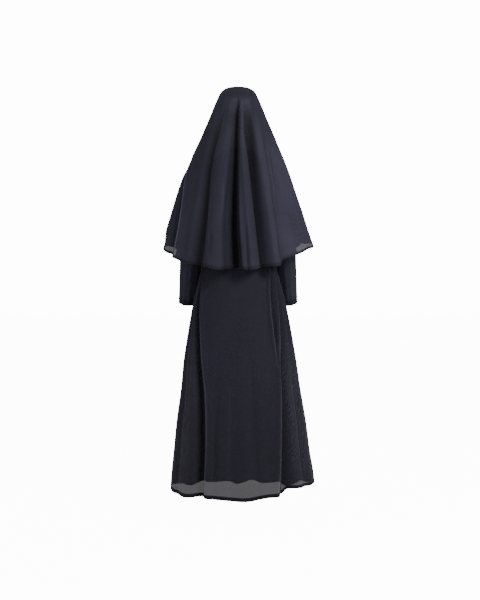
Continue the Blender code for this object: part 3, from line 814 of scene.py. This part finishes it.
@dataclass
class VeilForm(Form):
    """The veil, from its face edge over the crown to its hem.

    Args:
        creases: Its creases, in degrees from the back.
        laps: Its laps.
        behind_share: Share of its half width that hangs behind the shoulder.
        front_turn: Degrees from its side round to its front edge.
    """

    crowding: ClassVar[float] = 0.34

    creases: tuple[Crease, ...] = VEIL_CREASES
    laps: tuple[Lap, ...] = VEIL_LAPS
    behind_share: float = 0.58
    front_turn: float = 55.0

    def beyond(self, across: Array) -> Array:
        """Shares of the way from the veil's side to its front edge, below 0 behind the side."""
        return (np.abs(across) - self.behind_share) / (1.0 - self.behind_share)

    def angle(self, across: Array) -> Array:
        """Where shares across the veil hang round the head.

        Args:
            across: Shares across.

        Returns:
            Degrees from the back.
        """
        behind = 90.0 * across / self.behind_share
        front = np.sign(across) * (90.0 + self.front_turn * self.beyond(across))
        return np.where(np.abs(across) <= self.behind_share, behind, front)

    @staticmethod
    def gathers(angle: Array, down: Array) -> Array:
        """The cloth's rounded loops where the folds spring from the smooth crown.

        Args:
            angle: Degrees round the head.
            down: Shares of the way down.

        Returns:
            How far the loops stand out, in metres.
        """
        loops = np.zeros_like(angle)
        for middle, width, height in VEIL_LOOPS:
            off = (angle - middle) / width
            edge = LOOPS_START + LOOPS_SAG * np.minimum(off * off, 1.5)
            swell = smooth((down - edge) / LOOPS_SET_IN) * (1.0 - smooth((down - edge - LOOPS_HOLD) / LOOPS_FADE))
            loops += height * swell * np.exp(-(off**4))
        return loops

    def points(self, across: Array, down: Array) -> Array:
        """The veil with its creases, as points.

        Args:
            across: Shares across.
            down: Shares down, one for each share across.

        Returns:
            The points, a row for each.
        """
        side_x, side_y, side_z, back_y, back_z, edge_x, edge_y, edge_z, roundness = table_at(
            VEIL_LEVELS, down * (len(VEIL_LEVELS) - 1)
        )
        angle = self.angle(across)
        turn = np.radians(angle)
        behind = np.maximum(np.cos(turn), 0.0)
        back = np.stack((
            side_x * np.sin(turn),
            mix(side_y, back_y, behind),
            mix(side_z, back_z, behind**roundness),
        ), axis=1)
        back_out = np.stack((np.sin(turn) / side_x, behind / np.maximum(back_y - side_y, 0.05), turn * 0), axis=1)
        beyond = np.clip(self.beyond(across), 0.0, 1.0)
        quarter, side = beyond * math.pi / 2.0, np.sign(across)
        front = np.stack((
            side * mix(side_x, edge_x, 1.0 - np.cos(quarter)),
            mix(side_y, edge_y, np.sin(quarter)),
            mix(side_z, edge_z, beyond),
        ), axis=1)
        front_out = np.stack((side * np.cos(quarter), -np.sin(quarter), quarter * 0), axis=1)
        at_back = (np.abs(across) <= self.behind_share)[:, None]
        points = np.where(at_back, back, front)
        outward = unit(np.where(at_back, back_out, front_out))
        depth = crease_depth(self.creases, angle, down) - self.gathers(angle, down)
        along = np.stack((outward[:, 1], -outward[:, 0], outward[:, 0] * 0), axis=1)
        points = points - outward * depth[:, None] + along * lap_reach(self.laps, angle, down)[:, None]
        points[:, 2] += hem_rise(VEIL_HEM, angle, down)
        return points


@dataclass
class NeckForm(Form):
    """The strip that stands on the neckline.

    Args:
        height: Of the strip.
        inset: Its foot's size, as a share of the neckline.
        lean: Share by which its top is smaller than its foot.
    """

    height: float = 0.014
    inset: float = 0.955
    lean: float = 0.03

    def points(self, across: Array, down: Array) -> Array:
        """The binding as points.

        Args:
            across: Shares across.
            down: Shares down, one for each share across.

        Returns:
            The points, a row for each.
        """
        turn = across * math.pi
        behind = np.cos(turn) > 0.0
        neck_y = np.where(behind, NECK_BACK[0], NECK_FRONT[0])
        neck_z = np.where(behind, NECK_BACK[1], NECK_FRONT[1])
        curve = np.abs(np.cos(turn))
        inset = self.inset - self.lean * down
        return np.stack((
            NECK_HALF_WIDTH * np.sin(turn) * inset,
            neck_y * curve * inset,
            mix(NECK_SIDE_HEIGHT, neck_z, curve) + self.height * down - 2.0 * SEAM_LAP,
        ), axis=1)


@dataclass
class FaceBandForm(Form):
    """The strip sewn along the veil's face edge, which stands off the crown over the top of the head.

    Args:
        veil: The veil's form.
        width: Of the strip.
        stand: Degrees that it stands up from the edge over the crown.
        tuck: Metres that its foot reaches under the veil's edge.
        sides: Share of its length that runs down the veil's two sides.
        step: Share of its length over which its direction is measured.
        inner: Share across the veil over which the cloth's own run to the edge is measured.
        faces_forward: Rows of VEIL_LEVELS between which it leaves off facing forwards to follow the cloth.
        lies_down: Rows of VEIL_LEVELS between which it comes to lie flat.
    """

    veil: VeilForm
    width: float = 0.013
    stand: float = 62.0
    tuck: float = 0.003
    sides: float = 0.82
    step: float = 0.004
    inner: float = 0.03
    faces_forward: Span = (4.0, 8.0)
    lies_down: Span = (1.0, 6.0)

    def edge(self, share: Array) -> tuple[Array, Array, Array]:
        """The veil's face edge.

        Args:
            share: Shares along it, from one hem corner (-1) over the head to the other (1).

        Returns:
            The points, the directions that the strip runs out in, and its tilt in degrees.
        """
        over_head = 1.0 - self.sides
        on_side = np.abs(share) > over_head
        row = np.where(on_side, (np.abs(share) - over_head) / self.sides, 0.0)
        across = np.where(on_side, np.sign(share), share / over_head)
        points = self.veil.points(across, row)
        run = unit(points - self.veil.points(across - np.sign(share) * self.inner, row))
        levels = row * (len(VEIL_LEVELS) - 1)
        at_face = 1.0 - part_way(levels, self.faces_forward)[:, None]
        forward = unit(mix(run, np.array((0.0, -1.0, 0.0)), at_face))
        return points, forward, self.stand * (1.0 - part_way(levels, self.lies_down))

    def points(self, across: Array, down: Array) -> Array:
        """The strip as points.

        Args:
            across: Shares across.
            down: Shares down, one for each share across.

        Returns:
            The points, a row for each.
        """
        points, forward, stand = self.edge(-across)
        before = self.edge(-np.clip(across - self.step, -1.0, 1.0))[0]
        after = self.edge(-np.clip(across + self.step, -1.0, 1.0))[0]
        outward = unit(np.cross(after - before, forward))
        tilt = np.radians(stand)[:, None]
        direction = forward * np.cos(tilt) + outward * np.sin(tilt)
        return points - forward * self.tuck + direction * (self.width * down)[:, None]


def maths(tree: bpy.types.NodeTree, operation: str, first: Value, second: Value) -> bpy.types.NodeSocket:
    """Adds a node that works out a number.

    Args:
        tree: The node tree.
        operation: What it does.
        first: A socket or a number.
        second: A socket or a number.

    Returns:
        The socket of the outcome.
    """
    node = tree.nodes.new("ShaderNodeMath")
    node.operation = operation
    for value, socket in zip((first, second), node.inputs):
        if isinstance(value, float):
            socket.default_value = value
        else:
            tree.links.new(value, socket)
    return node.outputs["Value"]


@dataclass
class ClothMaterial:
    """A procedural cloth: a thread weave in the cut's own coordinates, a mottled colour scaled by painted light and
    shade, and a soft sheen.

    Args:
        name: Of the material.
        finish: How the cloth looks.
    """

    name: str
    finish: ClothFinish

    def build(self) -> bpy.types.Material:
        """Makes the material.

        Returns:
            The Blender material.
        """
        finish = self.finish
        made = bpy.data.materials.new(self.name)
        made.use_nodes = True
        tree = made.node_tree
        shader = tree.nodes["Principled BSDF"]
        for socket, value in (
            ("Roughness", finish.roughness), ("Alpha", finish.cover), ("Sheen Weight", finish.sheen),
            ("Sheen Roughness", 0.45), ("Sheen Tint", (0.80, 0.74, 1.0, 1.0)), ("Specular IOR Level", 0.18),
        ):
            shader.inputs[socket].default_value = value
        cut = tree.nodes.new("ShaderNodeUVMap")
        cut.uv_map = "cut"
        colour = self.mottled(tree)
        if finish.weave is Weave.WATERED:
            colour = self.watered(tree, cut.outputs["UV"], colour)
        # the base colour carries the painted light and shade
        tree.links.new(self.apply_painted_shading(tree, colour), shader.inputs["Base Color"])
        bump = tree.nodes.new("ShaderNodeBump")
        bump.inputs["Strength"].default_value = finish.relief
        bump.inputs["Distance"].default_value = 0.0004
        tree.links.new(self.threads(tree, cut.outputs["UV"]), bump.inputs["Height"])
        tree.links.new(bump.outputs["Normal"], shader.inputs["Normal"])
        return made

    def mottled(self, tree: bpy.types.NodeTree) -> bpy.types.NodeSocket:
        """Varies the colour in soft patches.

        Args:
            tree: The material's node tree.

        Returns:
            The colour's socket.
        """
        place = tree.nodes.new("ShaderNodeTexCoord")
        patches = tree.nodes.new("ShaderNodeTexNoise")
        patches.inputs["Scale"].default_value = 5.0
        patches.inputs["Detail"].default_value = 5.0
        patches.inputs["Roughness"].default_value = 0.6
        tree.links.new(place.outputs["Object"], patches.inputs["Vector"])
        ramp = tree.nodes.new("ShaderNodeValToRGB")
        for stop, position, colour in zip(
            ramp.color_ramp.elements, (0.35, 0.65), (self.finish.shade, self.finish.colour)
        ):
            stop.position = position
            stop.color = (*colour, 1.0)
        tree.links.new(patches.outputs["Fac"], ramp.inputs["Fac"])
        return ramp.outputs["Color"]

    @staticmethod
    def apply_painted_shading(tree: bpy.types.NodeTree, colour: bpy.types.NodeSocket) -> bpy.types.NodeSocket:
        """Scales the colour by the painted light and shade stored with the sheet.

        Args:
            tree: The material's node tree.
            colour: The colour's socket.

        Returns:
            The scaled colour's socket.
        """
        stored = tree.nodes.new("ShaderNodeAttribute")
        stored.attribute_name = "painted_light_and_shade"
        scaled = tree.nodes.new("ShaderNodeVectorMath")
        scaled.operation = "SCALE"
        tree.links.new(colour, scaled.inputs["Vector"])
        tree.links.new(maths(tree, "ADD", stored.outputs["Fac"], 1.0), scaled.inputs["Scale"])
        return scaled.outputs["Vector"]

    def threads(self, tree: bpy.types.NodeTree, cut: bpy.types.NodeSocket) -> bpy.types.NodeSocket:
        """Makes the weave's height, of warp and weft waves with slubs.

        Args:
            tree: The material's node tree.
            cut: The socket of the flat piece's coordinates, in metres.

        Returns:
            The height's socket.
        """
        heights = []
        for direction, share in (("X", 1.0), ("Y", 0.9)):
            wave = tree.nodes.new("ShaderNodeTexWave")
            wave.bands_direction = direction
            wave.inputs["Scale"].default_value = self.finish.threads * share / 6.2832
            wave.inputs["Distortion"].default_value = 3.0
            wave.inputs["Detail"].default_value = 2.0
            tree.links.new(cut, wave.inputs["Vector"])
            heights.append(wave.outputs["Fac"])
        return maths(tree, "ADD", *heights)

    @staticmethod
    def watered(
        tree: bpy.types.NodeTree, cut: bpy.types.NodeSocket, colour: bpy.types.NodeSocket
    ) -> bpy.types.NodeSocket:
        """Lays faint watered lines over the colour, as two thin layers of one weave give.

        Args:
            tree: The material's node tree.
            cut: The socket of the flat piece's coordinates.
            colour: The colour's socket.

        Returns:
            The socket of the colour with its lines.
        """
        bent = tree.nodes.new("ShaderNodeTexNoise")
        bent.inputs["Scale"].default_value = 9.0
        bent.inputs["Detail"].default_value = 2.0
        tree.links.new(cut, bent.inputs["Vector"])
        lines = tree.nodes.new("ShaderNodeTexWave")
        lines.bands_direction = "DIAGONAL"
        lines.inputs["Scale"].default_value = 52.0
        lines.inputs["Distortion"].default_value = 14.0
        lines.inputs["Detail"].default_value = 2.0
        lines.inputs["Detail Scale"].default_value = 0.6
        tree.links.new(cut, lines.inputs["Vector"])
        where = tree.nodes.new("ShaderNodeAttribute")
        where.attribute_name = "watered"
        amount = maths(tree, "MULTIPLY", where.outputs["Fac"], lines.outputs["Fac"])
        over = tree.nodes.new("ShaderNodeMix")
        over.data_type = "RGBA"
        over.blend_type = "MIX"
        tree.links.new(maths(tree, "MULTIPLY", amount, bent.outputs["Fac"]), over.inputs["Factor"])
        tree.links.new(colour, over.inputs["A"])
        over.inputs["B"].default_value = WATERED_COLOUR
        return over.outputs["Result"]


def mesh_of(shape: bmesh.types.BMesh, name: str, material: bpy.types.Material) -> bpy.types.Mesh:
    """Turns a finished shape into a mesh.

    Args:
        shape: The shape, which is freed.
        name: Of the mesh.
        material: Its material.

    Returns:
        The mesh.
    """
    mesh = bpy.data.meshes.new(name)
    shape.to_mesh(mesh)
    shape.free()
    mesh.materials.append(material)
    return mesh


def put_in_scene(name: str, data: bpy.types.ID) -> bpy.types.Object:
    """Makes an object and links it.

    Args:
        name: Of the object.
        data: Its mesh, light or camera.

    Returns:
        The object.
    """
    made = bpy.data.objects.new(name, data)
    bpy.context.scene.collection.objects.link(made)
    return made


@dataclass
class Sheet:
    """A sheet of cloth, laid on a form as a fine grid.

    Args:
        name: Name of the piece.
        form: The form it lies on.
        columns: Squares of the grid across.
        rows: Squares down.
        cut: Width and length of the flat piece, in metres.
        material: Its material.
        closed: True if the two side edges meet.
        thickness: Of the shown cloth.
        down_span: First and last share of the way down that the sheet covers.
        lift: Metres that it is moved out from the form.
        painted_shading: Its painted light and shade.
        watered: Function from shares across and down to how strongly the watered lines show, if they do.
    """

    name: str
    form: Form
    columns: int
    rows: int
    cut: Span
    material: bpy.types.Material
    closed: bool = False
    thickness: float = CLOTH
    down_span: Span = (0.0, 1.0)
    lift: float = 0.0
    painted_shading: tuple[PaintedShading, ...] = ()
    watered: Callable[[Array, Array], Array] | None = None

    def build(self) -> bpy.types.Object:
        """Models the sheet.

        Returns:
            The Blender object.
        """
        shape = bmesh.new()
        bmesh.ops.create_grid(shape, x_segments=self.columns, y_segments=self.rows, size=1.0)
        grid = np.array([point.co for point in shape.verts])
        across = grid[:, 0] * (1.0 - self.form.crowding * (1.0 - grid[:, 0] ** 2))
        down = mix(self.down_span[0], self.down_span[1], (1.0 - grid[:, 1]) / 2.0)
        self.keep_cut(shape, across, down)
        for point, place in zip(shape.verts, self.form.points(across, down)):
            point.co = Vector(place)
        # painted light and shade, kept with each point for the material's colour
        if self.painted_shading:
            self.store(shape, "painted_light_and_shade", painted_shading_at(self.painted_shading, self.form.angle(across), down))
        if self.watered:
            self.store(shape, "watered", self.watered(across, down))
        if self.closed:
            bmesh.ops.remove_doubles(shape, verts=shape.verts, dist=1e-6)
        shape.normal_update()
        self.face_outward(shape)
        if self.lift:
            moved = [(point, point.co + point.normal * self.lift) for point in shape.verts]
            for point, place in moved:
                point.co = place
        mesh = mesh_of(shape, self.name, self.material)
        mesh.shade_smooth()
        piece = put_in_scene(self.name, mesh)
        wall = piece.modifiers.new("thickness", "SOLIDIFY")
        wall.thickness = self.thickness
        wall.offset = -1.0
        log.info("%s: %d faces", self.name, len(mesh.polygons))
        return piece

    def keep_cut(self, shape: bmesh.types.BMesh, across: Array, down: Array) -> None:
        """Keeps each corner's place on the flat piece, for the weave.

        Args:
            shape: The grid.
            across: Its points' shares across.
            down: Its points' shares down.
        """
        layer = shape.loops.layers.uv.new("cut")
        flat = np.stack((across * self.cut[0] / 2.0, -down * self.cut[1]), axis=1)
        shape.verts.index_update()
        for face in shape.faces:
            for corner in face.loops:
                corner[layer].uv = flat[corner.vert.index]

    @staticmethod
    def face_outward(shape: bmesh.types.BMesh) -> None:
        """Turns the faces so that their normals point away from the wearer.

        Args:
            shape: The sheet's shape.
        """
        middle = sum((point.co for point in shape.verts), Vector()) / len(shape.verts)
        total = 0.0
        for face in shape.faces:
            centre = face.calc_center_median()
            axis = Vector((middle.x, min(middle.y, 0.0), centre.z))
            total += face.normal.dot(centre - axis) * face.calc_area()
        if total < 0.0:
            bmesh.ops.reverse_faces(shape, faces=shape.faces)

    @staticmethod
    def store(shape: bmesh.types.BMesh, name: str, values: Array) -> None:
        """Keeps a number with each point of the grid, for the material.

        Args:
            shape: The grid.
            name: Of the attribute.
            values: A number for each point.
        """
        layer = shape.verts.layers.float.new(name)
        for point, value in zip(shape.verts, values):
            point[layer] = value

    def hem(self, share: float, cloth: bpy.types.Material) -> "Sheet":
        """The turned-up edge inside the sheet's foot.

        Args:
            share: Share of the way up that it reaches.
            cloth: Its material.

        Returns:
            The hem's own sheet.
        """
        return replace(
            self, name=self.name.replace("_cloth", "_hem"), rows=3, material=cloth, thickness=CLOTH * 0.8,
            down_span=(1.0 - share, 0.9995), lift=-CLOTH - HEM_GAP, painted_shading=(), watered=None,
        )


@dataclass
class StitchRow:
    """A row of short stitches that follows a line on a form.

    Args:
        form: The form under it.
        line: Function from shares along (0 to 1) to shares across and down.
        length: Metres of the line, about.
        stitch: Length of a stitch.
        gap: Between two stitches.
        width: Thickness of the thread.
        lift: Metres that the thread stands off the form.
        aside: Share down at which the form beside the line is looked up.
    """

    form: Form
    line: Line
    length: float
    stitch: float = 0.0026
    gap: float = 0.0014
    width: float = 0.00045
    lift: float = 0.0003
    aside: float = 0.002

    def boxes(self) -> Array:
        """Lays the stitches out.

        Returns:
            Their corners, eight for each stitch, as an array of (count, 8, 3).
        """
        count = int(self.length / (self.stitch + self.gap))
        starts = np.arange(count) / count
        ends = starts + self.stitch / (self.stitch + self.gap) / count
        first = self.form.points(*self.line(starts))
        last = self.form.points(*self.line(ends))
        across, down = self.line(starts)
        beside = self.form.points(across, np.clip(down + self.aside, 0.0, 1.0))
        mirrored = 2.0 * first - self.form.points(across, down - self.aside)
        beside = np.where((down > 0.997)[:, None], mirrored, beside)
        run = unit(last - first)
        out = unit(np.cross(run, beside - first))
        away = (first + last) / 2.0
        away[:, 2] = 0.0
        out *= np.where((out * away).sum(axis=1) < 0.0, -1.0, 1.0)[:, None]
        wide = np.cross(out, run) * self.width / 2.0
        corners = []
        for height in (self.lift - self.width * 0.5, self.lift + self.width * 0.5):
            raised = out * height
            corners += [first - wide + raised, first + wide + raised, last + wide + raised, last - wide + raised]
        return np.stack(corners, axis=1)


@dataclass
class Stitching:
    """All the stitch rows of a piece, as one mesh of small threads.

    Args:
        name: Name of the piece.
        rows: Its rows.
        material: Its material.
    """

    FACES: ClassVar = ((0, 3, 2, 1), (4, 5, 6, 7), (0, 1, 5, 4), (1, 2, 6, 5), (2, 3, 7, 6), (3, 0, 4, 7))

    name: str
    rows: list[StitchRow]
    material: bpy.types.Material

    def build(self) -> bpy.types.Object:
        """Models the stitches.

        Returns:
            The Blender object.
        """
        corners = np.concatenate([row.boxes() for row in self.rows])
        shape = bmesh.new()
        for box in corners:
            points = [shape.verts.new(Vector(corner)) for corner in box]
            for face in self.FACES:
                shape.faces.new([points[number] for number in face])
        bmesh.ops.recalc_face_normals(shape, faces=shape.faces)
        mesh = mesh_of(shape, self.name, self.material)
        mesh.shade_smooth()
        log.info("%s: %d stitches", self.name, len(corners))
        return put_in_scene(self.name, mesh)


def level_line(down: float) -> Line:
    """A line across a form, from edge to edge, at a share of the way down."""
    return lambda along: (mix(-0.995, 0.995, along), np.full_like(along, down))


def plumb_line(across: float, first: float, last: float) -> Line:
    """A line down a form at a share across, from a first to a last share down."""
    return lambda along: (np.full_like(along, across), mix(first, last, along))


def on_frame(piece: bpy.types.Object, slot: str, *nodes: str) -> bpy.types.Object:
    """Puts a piece on the frame.

    Args:
        piece: The piece.
        slot: Its material slot; not used.
        nodes: The solid's nodes that it stands for.

    Returns:
        The piece.
    """
    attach(piece, "root")
    if nodes:
        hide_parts(*nodes)
    return piece


class Cloths:
    """The materials that the pieces share."""

    def __init__(self) -> None:
        """Makes every material."""
        self.veil = [
            ClothMaterial(f"veil_weave_{step}", replace(VEIL_FINISH, cover=cover)).build()
            for step, cover in enumerate(VEIL_COVERS)
        ]
        self.robe = ClothMaterial("robe_weave", ROBE_FINISH).build()
        self.sleeve = ClothMaterial("sleeve_weave", SLEEVE_FINISH).build()
        self.hem = ClothMaterial("hem_weave", HEM_FINISH).build()
        self.band = ClothMaterial("band_weave", BAND_FINISH).build()
        self.thread = ClothMaterial("sewing_thread", THREAD_FINISH).build()


@dataclass
class RobePanel:
    """A robe panel with its hem and its stitches.

    Args:
        name: Name of the panel.
        form: The form it lies on.
        painted_shading: Its painted light and shade.
        length: From the neckline to the hem, laid flat.
        width: Of the flat piece at its hem.
        area_share: The flared piece's area, as a share of its width by its length; not used.
        hem_share: Share of the way up that the turned hem reaches.
        seam: Share across at which the side seams are stitched.
        watered_across: Shares across, on either side, over which the watered lines set in.
        watered_down: Shares down over which they set in.
        watered_left: Their strength on the wearer's left, as a share of that on the right.
        columns: Squares of its grid across.
        rows: Squares down.
    """

    name: str
    form: RobeForm
    painted_shading: tuple[PaintedShading, ...]
    length: float
    width: float = 0.98
    area_share: float = 0.62
    hem_share: float = 0.018
    seam: float = 0.985
    watered_across: Span = (0.42, 0.57)
    watered_down: Span = (0.66, 0.78)
    watered_left: float = 0.6
    columns: int = 320
    rows: int = 150

    def side_panels(self, across: Array, down: Array) -> Array:
        """How strongly the watered lines show: low on the side panels, and more on the wearer's right.

        Args:
            across: Shares across.
            down: Shares down.

        Returns:
            Shares of their full strength.
        """
        side = part_way(np.abs(across), self.watered_across) * np.where(across < 0.0, 1.0, self.watered_left)
        return side * part_way(down, self.watered_down)

    def build(self, cloths: Cloths) -> None:
        """Models and dresses the panel.

        Args:
            cloths: The shared materials.
        """
        cut = (self.width, self.length)
        panel = Sheet(self.name + "_cloth", self.form, self.columns, self.rows, cut, cloths.robe,
                      painted_shading=self.painted_shading, watered=self.side_panels)
        piece = on_frame(panel.build(), "robe_cloth", self.name)
        hem = on_frame(panel.hem(self.hem_share, cloths.hem).build(), "robe_cloth")
        stitches = Stitching(self.name + "_stitches", [
            StitchRow(self.form, level_line(1.0 - self.hem_share), 0.95),
            StitchRow(self.form, plumb_line(self.seam, 0.40, 0.995), 0.9),
            StitchRow(self.form, plumb_line(-self.seam, 0.40, 0.995), 0.9),
        ], cloths.thread)
        thread = on_frame(stitches.build(), "robe_cloth")


@dataclass
class Sleeve:
    """A sleeve with its cuff's hem and its stitches.

    Args:
        name: Name of the sleeve.
        form: The form it lies on.
        cut: Width and length of the flat piece.
        hem_share: Share of the way up that the cuff's hem reaches.
        columns: Squares of its grid across.
        rows: Squares down.
    """

    name: str
    form: SleeveForm
    cut: Span = (0.36, 0.50)
    hem_share: float = 0.040
    columns: int = 120
    rows: int = 130

    def build(self, cloths: Cloths) -> None:
        """Models and dresses the sleeve.

        Args:
            cloths: The shared materials.
        """
        tube = Sheet(self.name + "_cloth", self.form, self.columns, self.rows, self.cut, cloths.sleeve,
                     closed=True, painted_shading=SLEEVE_PAINTED_SHADING)
        piece = on_frame(tube.build(), "sleeve_cloth", self.name)
        hem = on_frame(tube.hem(self.hem_share, cloths.hem).build(), "sleeve_cloth")
        stitches = Stitching(self.name + "_stitches", [
            StitchRow(self.form, level_line(1.0 - self.hem_share), 0.25),
            StitchRow(self.form, level_line(0.014), 0.44),
        ], cloths.thread)
        thread = on_frame(stitches.build(), "sleeve_cloth")


@dataclass
class NeckBinding:
    """The binding round the neckline.

    Args:
        form: The form it lies on.
        length: Of the flat strip.
        columns: Squares of its grid along.
        rows: Squares across the strip.
    """

    form: NeckForm
    length: float = 0.46
    columns: int = 160
    rows: int = 6

    def build(self, cloths: Cloths) -> None:
        """Models and dresses the binding.

        Args:
            cloths: The shared materials.
        """
        cut = (self.length, self.form.height)
        strip = Sheet("neck_binding_cloth", self.form, self.columns, self.rows, cut, cloths.band,
                      closed=True, thickness=BINDING)
        piece = on_frame(strip.build(), "binding_cloth", "neck_binding")
        stitches = Stitching("neck_binding_stitches", [
            StitchRow(self.form, level_line(0.16), 0.46),
            StitchRow(self.form, level_line(0.84), 0.44),
        ], cloths.thread)
        thread = on_frame(stitches.build(), "binding_cloth")


@dataclass
class Veil:
    """The veil with its hem and its stitches.

    Args:
        form: The form it lies on.
        cut: Width and length of the flat piece.
        area: Of the round-cut piece; not used.
        hem_share: Share of the way up that the turned hem reaches.
        columns: Squares of its grid across.
        rows: Squares down.
    """

    form: VeilForm
    cut: Span = (1.30, 0.86)
    area: float = 0.62
    hem_share: float = 0.018
    columns: int = 370
    rows: int = 130

    def thin_out(self, mesh: bpy.types.Mesh) -> None:
        """Gives the sides a thinner look, step by step to the hem; what hangs over the back stays dense.

        Args:
            mesh: The veil's mesh, which holds every cover's material.
        """
        corners = mesh.uv_layers["cut"].data
        for face in mesh.polygons:
            place = corners[face.loop_start].uv
            across, down = abs(place[0]) * 2.0 / self.cut[0], -place[1] / self.cut[1]
            step = sum(down > begins for begins in VEIL_COVER_STEPS)
            face.material_index = step if across > VEIL_THIN_SIDE else 0

    def build(self, cloths: Cloths) -> None:
        """Models and dresses the veil.

        Args:
            cloths: The shared materials.
        """
        cloth = Sheet("veil_cloth", self.form, self.columns, self.rows, self.cut, cloths.veil[0], painted_shading=VEIL_PAINTED_SHADING)
        piece = on_frame(cloth.build(), "veil_cloth", "veil")
        for material in cloths.veil[1:]:
            piece.data.materials.append(material)
        self.thin_out(piece.data)
        hem = on_frame(cloth.hem(self.hem_share, cloths.hem).build(), "veil_cloth")
        stitches = Stitching("veil_stitches", [
            StitchRow(self.form, level_line(1.0 - self.hem_share), 1.4),
        ], cloths.thread)
        thread = on_frame(stitches.build(), "veil_cloth")


@dataclass
class FaceBand:
    """The strip along the veil's face edge, with its stitches.

    Args:
        form: The form it lies on.
        length: Of the flat strip.
        columns: Squares of its grid along.
        rows: Squares across the strip.
    """

    form: FaceBandForm
    length: float = 1.62
    columns: int = 420
    rows: int = 4

    def build(self, cloths: Cloths) -> None:
        """Models and dresses the band.

        Args:
            cloths: The shared materials.
        """
        cut = (self.length, self.form.width)
        band = Sheet("veil_face_band_cloth", self.form, self.columns, self.rows, cut, cloths.band,
                     thickness=BINDING)
        piece = on_frame(band.build(), "band_cloth", "veil_face_band")
        stitches = Stitching("veil_face_band_stitches", [
            StitchRow(self.form, level_line(0.14), 1.6),
            StitchRow(self.form, level_line(0.86), 1.6),
        ], cloths.thread)
        thread = on_frame(stitches.build(), "band_cloth")


@dataclass(frozen=True)
class Lamp:
    """A soft square light.

    Args:
        name: Of the light.
        place: Where it stands.
        target: What it faces.
        size: Of its side, in metres.
        power: In watts.
    """

    name: str
    place: Point
    target: Point
    size: float
    power: float


def aim(thing: bpy.types.Object, place: Point, target: Point) -> None:
    """Stands a light or a camera at a place, facing a target."""
    thing.location = place
    thing.rotation_euler = (Vector(target) - Vector(place)).to_track_quat("-Z", "Y").to_euler()


@dataclass
class Studio:
    """A white studio: floor, light and camera.

    Args:
        eye: Where the camera stands, behind the habit.
        target: What it looks at.
        lens: Focal length in millimetres, on a 36 mm sensor.
        floor_height: Height of the floor.
        floor_size: Half its width.
        surround_light: Strength of the surroundings' light on the cloth.
        backdrop: Strength of the surroundings as the camera sees them.
        lamps: A key from above on the wearer's right, and a weaker fill.
    """

    eye: Point = (-0.008, 4.3, -0.51)
    target: Point = (-0.008, 0.0, -0.562)
    lens: float = 64.5
    floor_height: float = -1.43
    floor_size: float = 30.0
    surround_light: float = 0.34
    backdrop: float = 14.0
    lamps: tuple[Lamp, ...] = (
        Lamp("key", (-2.6, 3.4, 1.8), (0.0, 0.0, -0.3), 1.6, 165.0),
        Lamp("fill", (2.8, 3.6, 0.4), (0.0, 0.0, -0.6), 2.2, 38.0),
    )

    def floor(self) -> None:
        """A wide pale floor, as bright to the camera as the backdrop."""
        made = bpy.data.materials.new("pale_floor")
        made.use_nodes = True
        tree = made.node_tree
        shader = tree.nodes["Principled BSDF"]
        shader.inputs["Base Color"].default_value = (0.97, 0.97, 0.97, 1.0)
        shader.inputs["Roughness"].default_value = 0.9
        shader.inputs["Emission Color"].default_value = WHITE
        seen = tree.nodes.new("ShaderNodeLightPath")
        glow = maths(tree, "MULTIPLY", seen.outputs["Is Camera Ray"], self.backdrop - 1.0)
        tree.links.new(glow, shader.inputs["Emission Strength"])
        shape = bmesh.new()
        bmesh.ops.create_grid(shape, x_segments=4, y_segments=4, size=self.floor_size)
        piece = put_in_scene("floor", mesh_of(shape, "floor", made))
        piece.location = (0.0, 0.0, self.floor_height)
        piece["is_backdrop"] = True

    def light(self) -> None:
        """White surroundings and the lamps."""
        world = bpy.data.worlds.new("white_studio")
        world.use_nodes = True
        nodes, links = world.node_tree.nodes, world.node_tree.links
        both = nodes.new("ShaderNodeMixShader")
        seen = nodes.new("ShaderNodeLightPath")
        links.new(seen.outputs["Is Camera Ray"], both.inputs["Fac"])
        grounds = (nodes["Background"], nodes.new("ShaderNodeBackground"))
        for number, (ground, strength) in enumerate(zip(grounds, (self.surround_light, self.backdrop)), start=1):
            ground.inputs["Color"].default_value = WHITE
            ground.inputs["Strength"].default_value = strength
            links.new(ground.outputs["Background"], both.inputs[number])
        links.new(both.outputs["Shader"], nodes["World Output"].inputs["Surface"])
        bpy.context.scene.world = world
        for lamp in self.lamps:
            light = bpy.data.lights.new(lamp.name, "AREA")
            light.shape = "SQUARE"
            light.size = lamp.size
            light.energy = lamp.power
            aim(put_in_scene(lamp.name, light), lamp.place, lamp.target)

    def camera(self) -> None:
        """The camera behind the habit."""
        lens = bpy.data.cameras.new("camera")
        lens.lens = self.lens
        lens.sensor_width = 36.0
        lens.clip_start, lens.clip_end = 0.1, 100.0
        eye = put_in_scene("camera", lens)
        aim(eye, self.eye, self.target)
        bpy.context.scene.camera = eye

    def build(self) -> None:
        """Sets up the studio."""
        self.floor()
        self.light()
        self.camera()


def note_sizes(sizes: dict[str, list[list[float]]], when: str) -> None:
    """Keeps the shown object's box under a name in sizes."""
    low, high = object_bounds()
    sizes[when] = [list(low), list(high)]


def main() -> None:
    """Builds the habit round its frame."""
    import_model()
    sizes = {}
    note_sizes(sizes, "cad")
    cloths = Cloths()
    veil = VeilForm()
    for part in (
        RobePanel("robe_back", RobeForm(1, ROBE_BACK_CREASES, ROBE_BACK_LAPS, ROBE_BACK_HEM), ROBE_BACK_PAINTED_SHADING, 1.335),
        RobePanel("robe_front", RobeForm(-1, ROBE_FRONT_CREASES, (), ROBE_FRONT_HEM), ROBE_FRONT_PAINTED_SHADING, 1.315),
        Sleeve("sleeve_left", SleeveForm(1)),
        Sleeve("sleeve_right", SleeveForm(-1)),
        NeckBinding(NeckForm()),
        Veil(veil),
        FaceBand(FaceBandForm(veil)),
    ):
        part.build(cloths)
        log.info("built %s", getattr(part, "name", type(part).__name__))
    Studio().build()
    note_sizes(sizes, "visual")


if __name__ == "__main__":
    main()
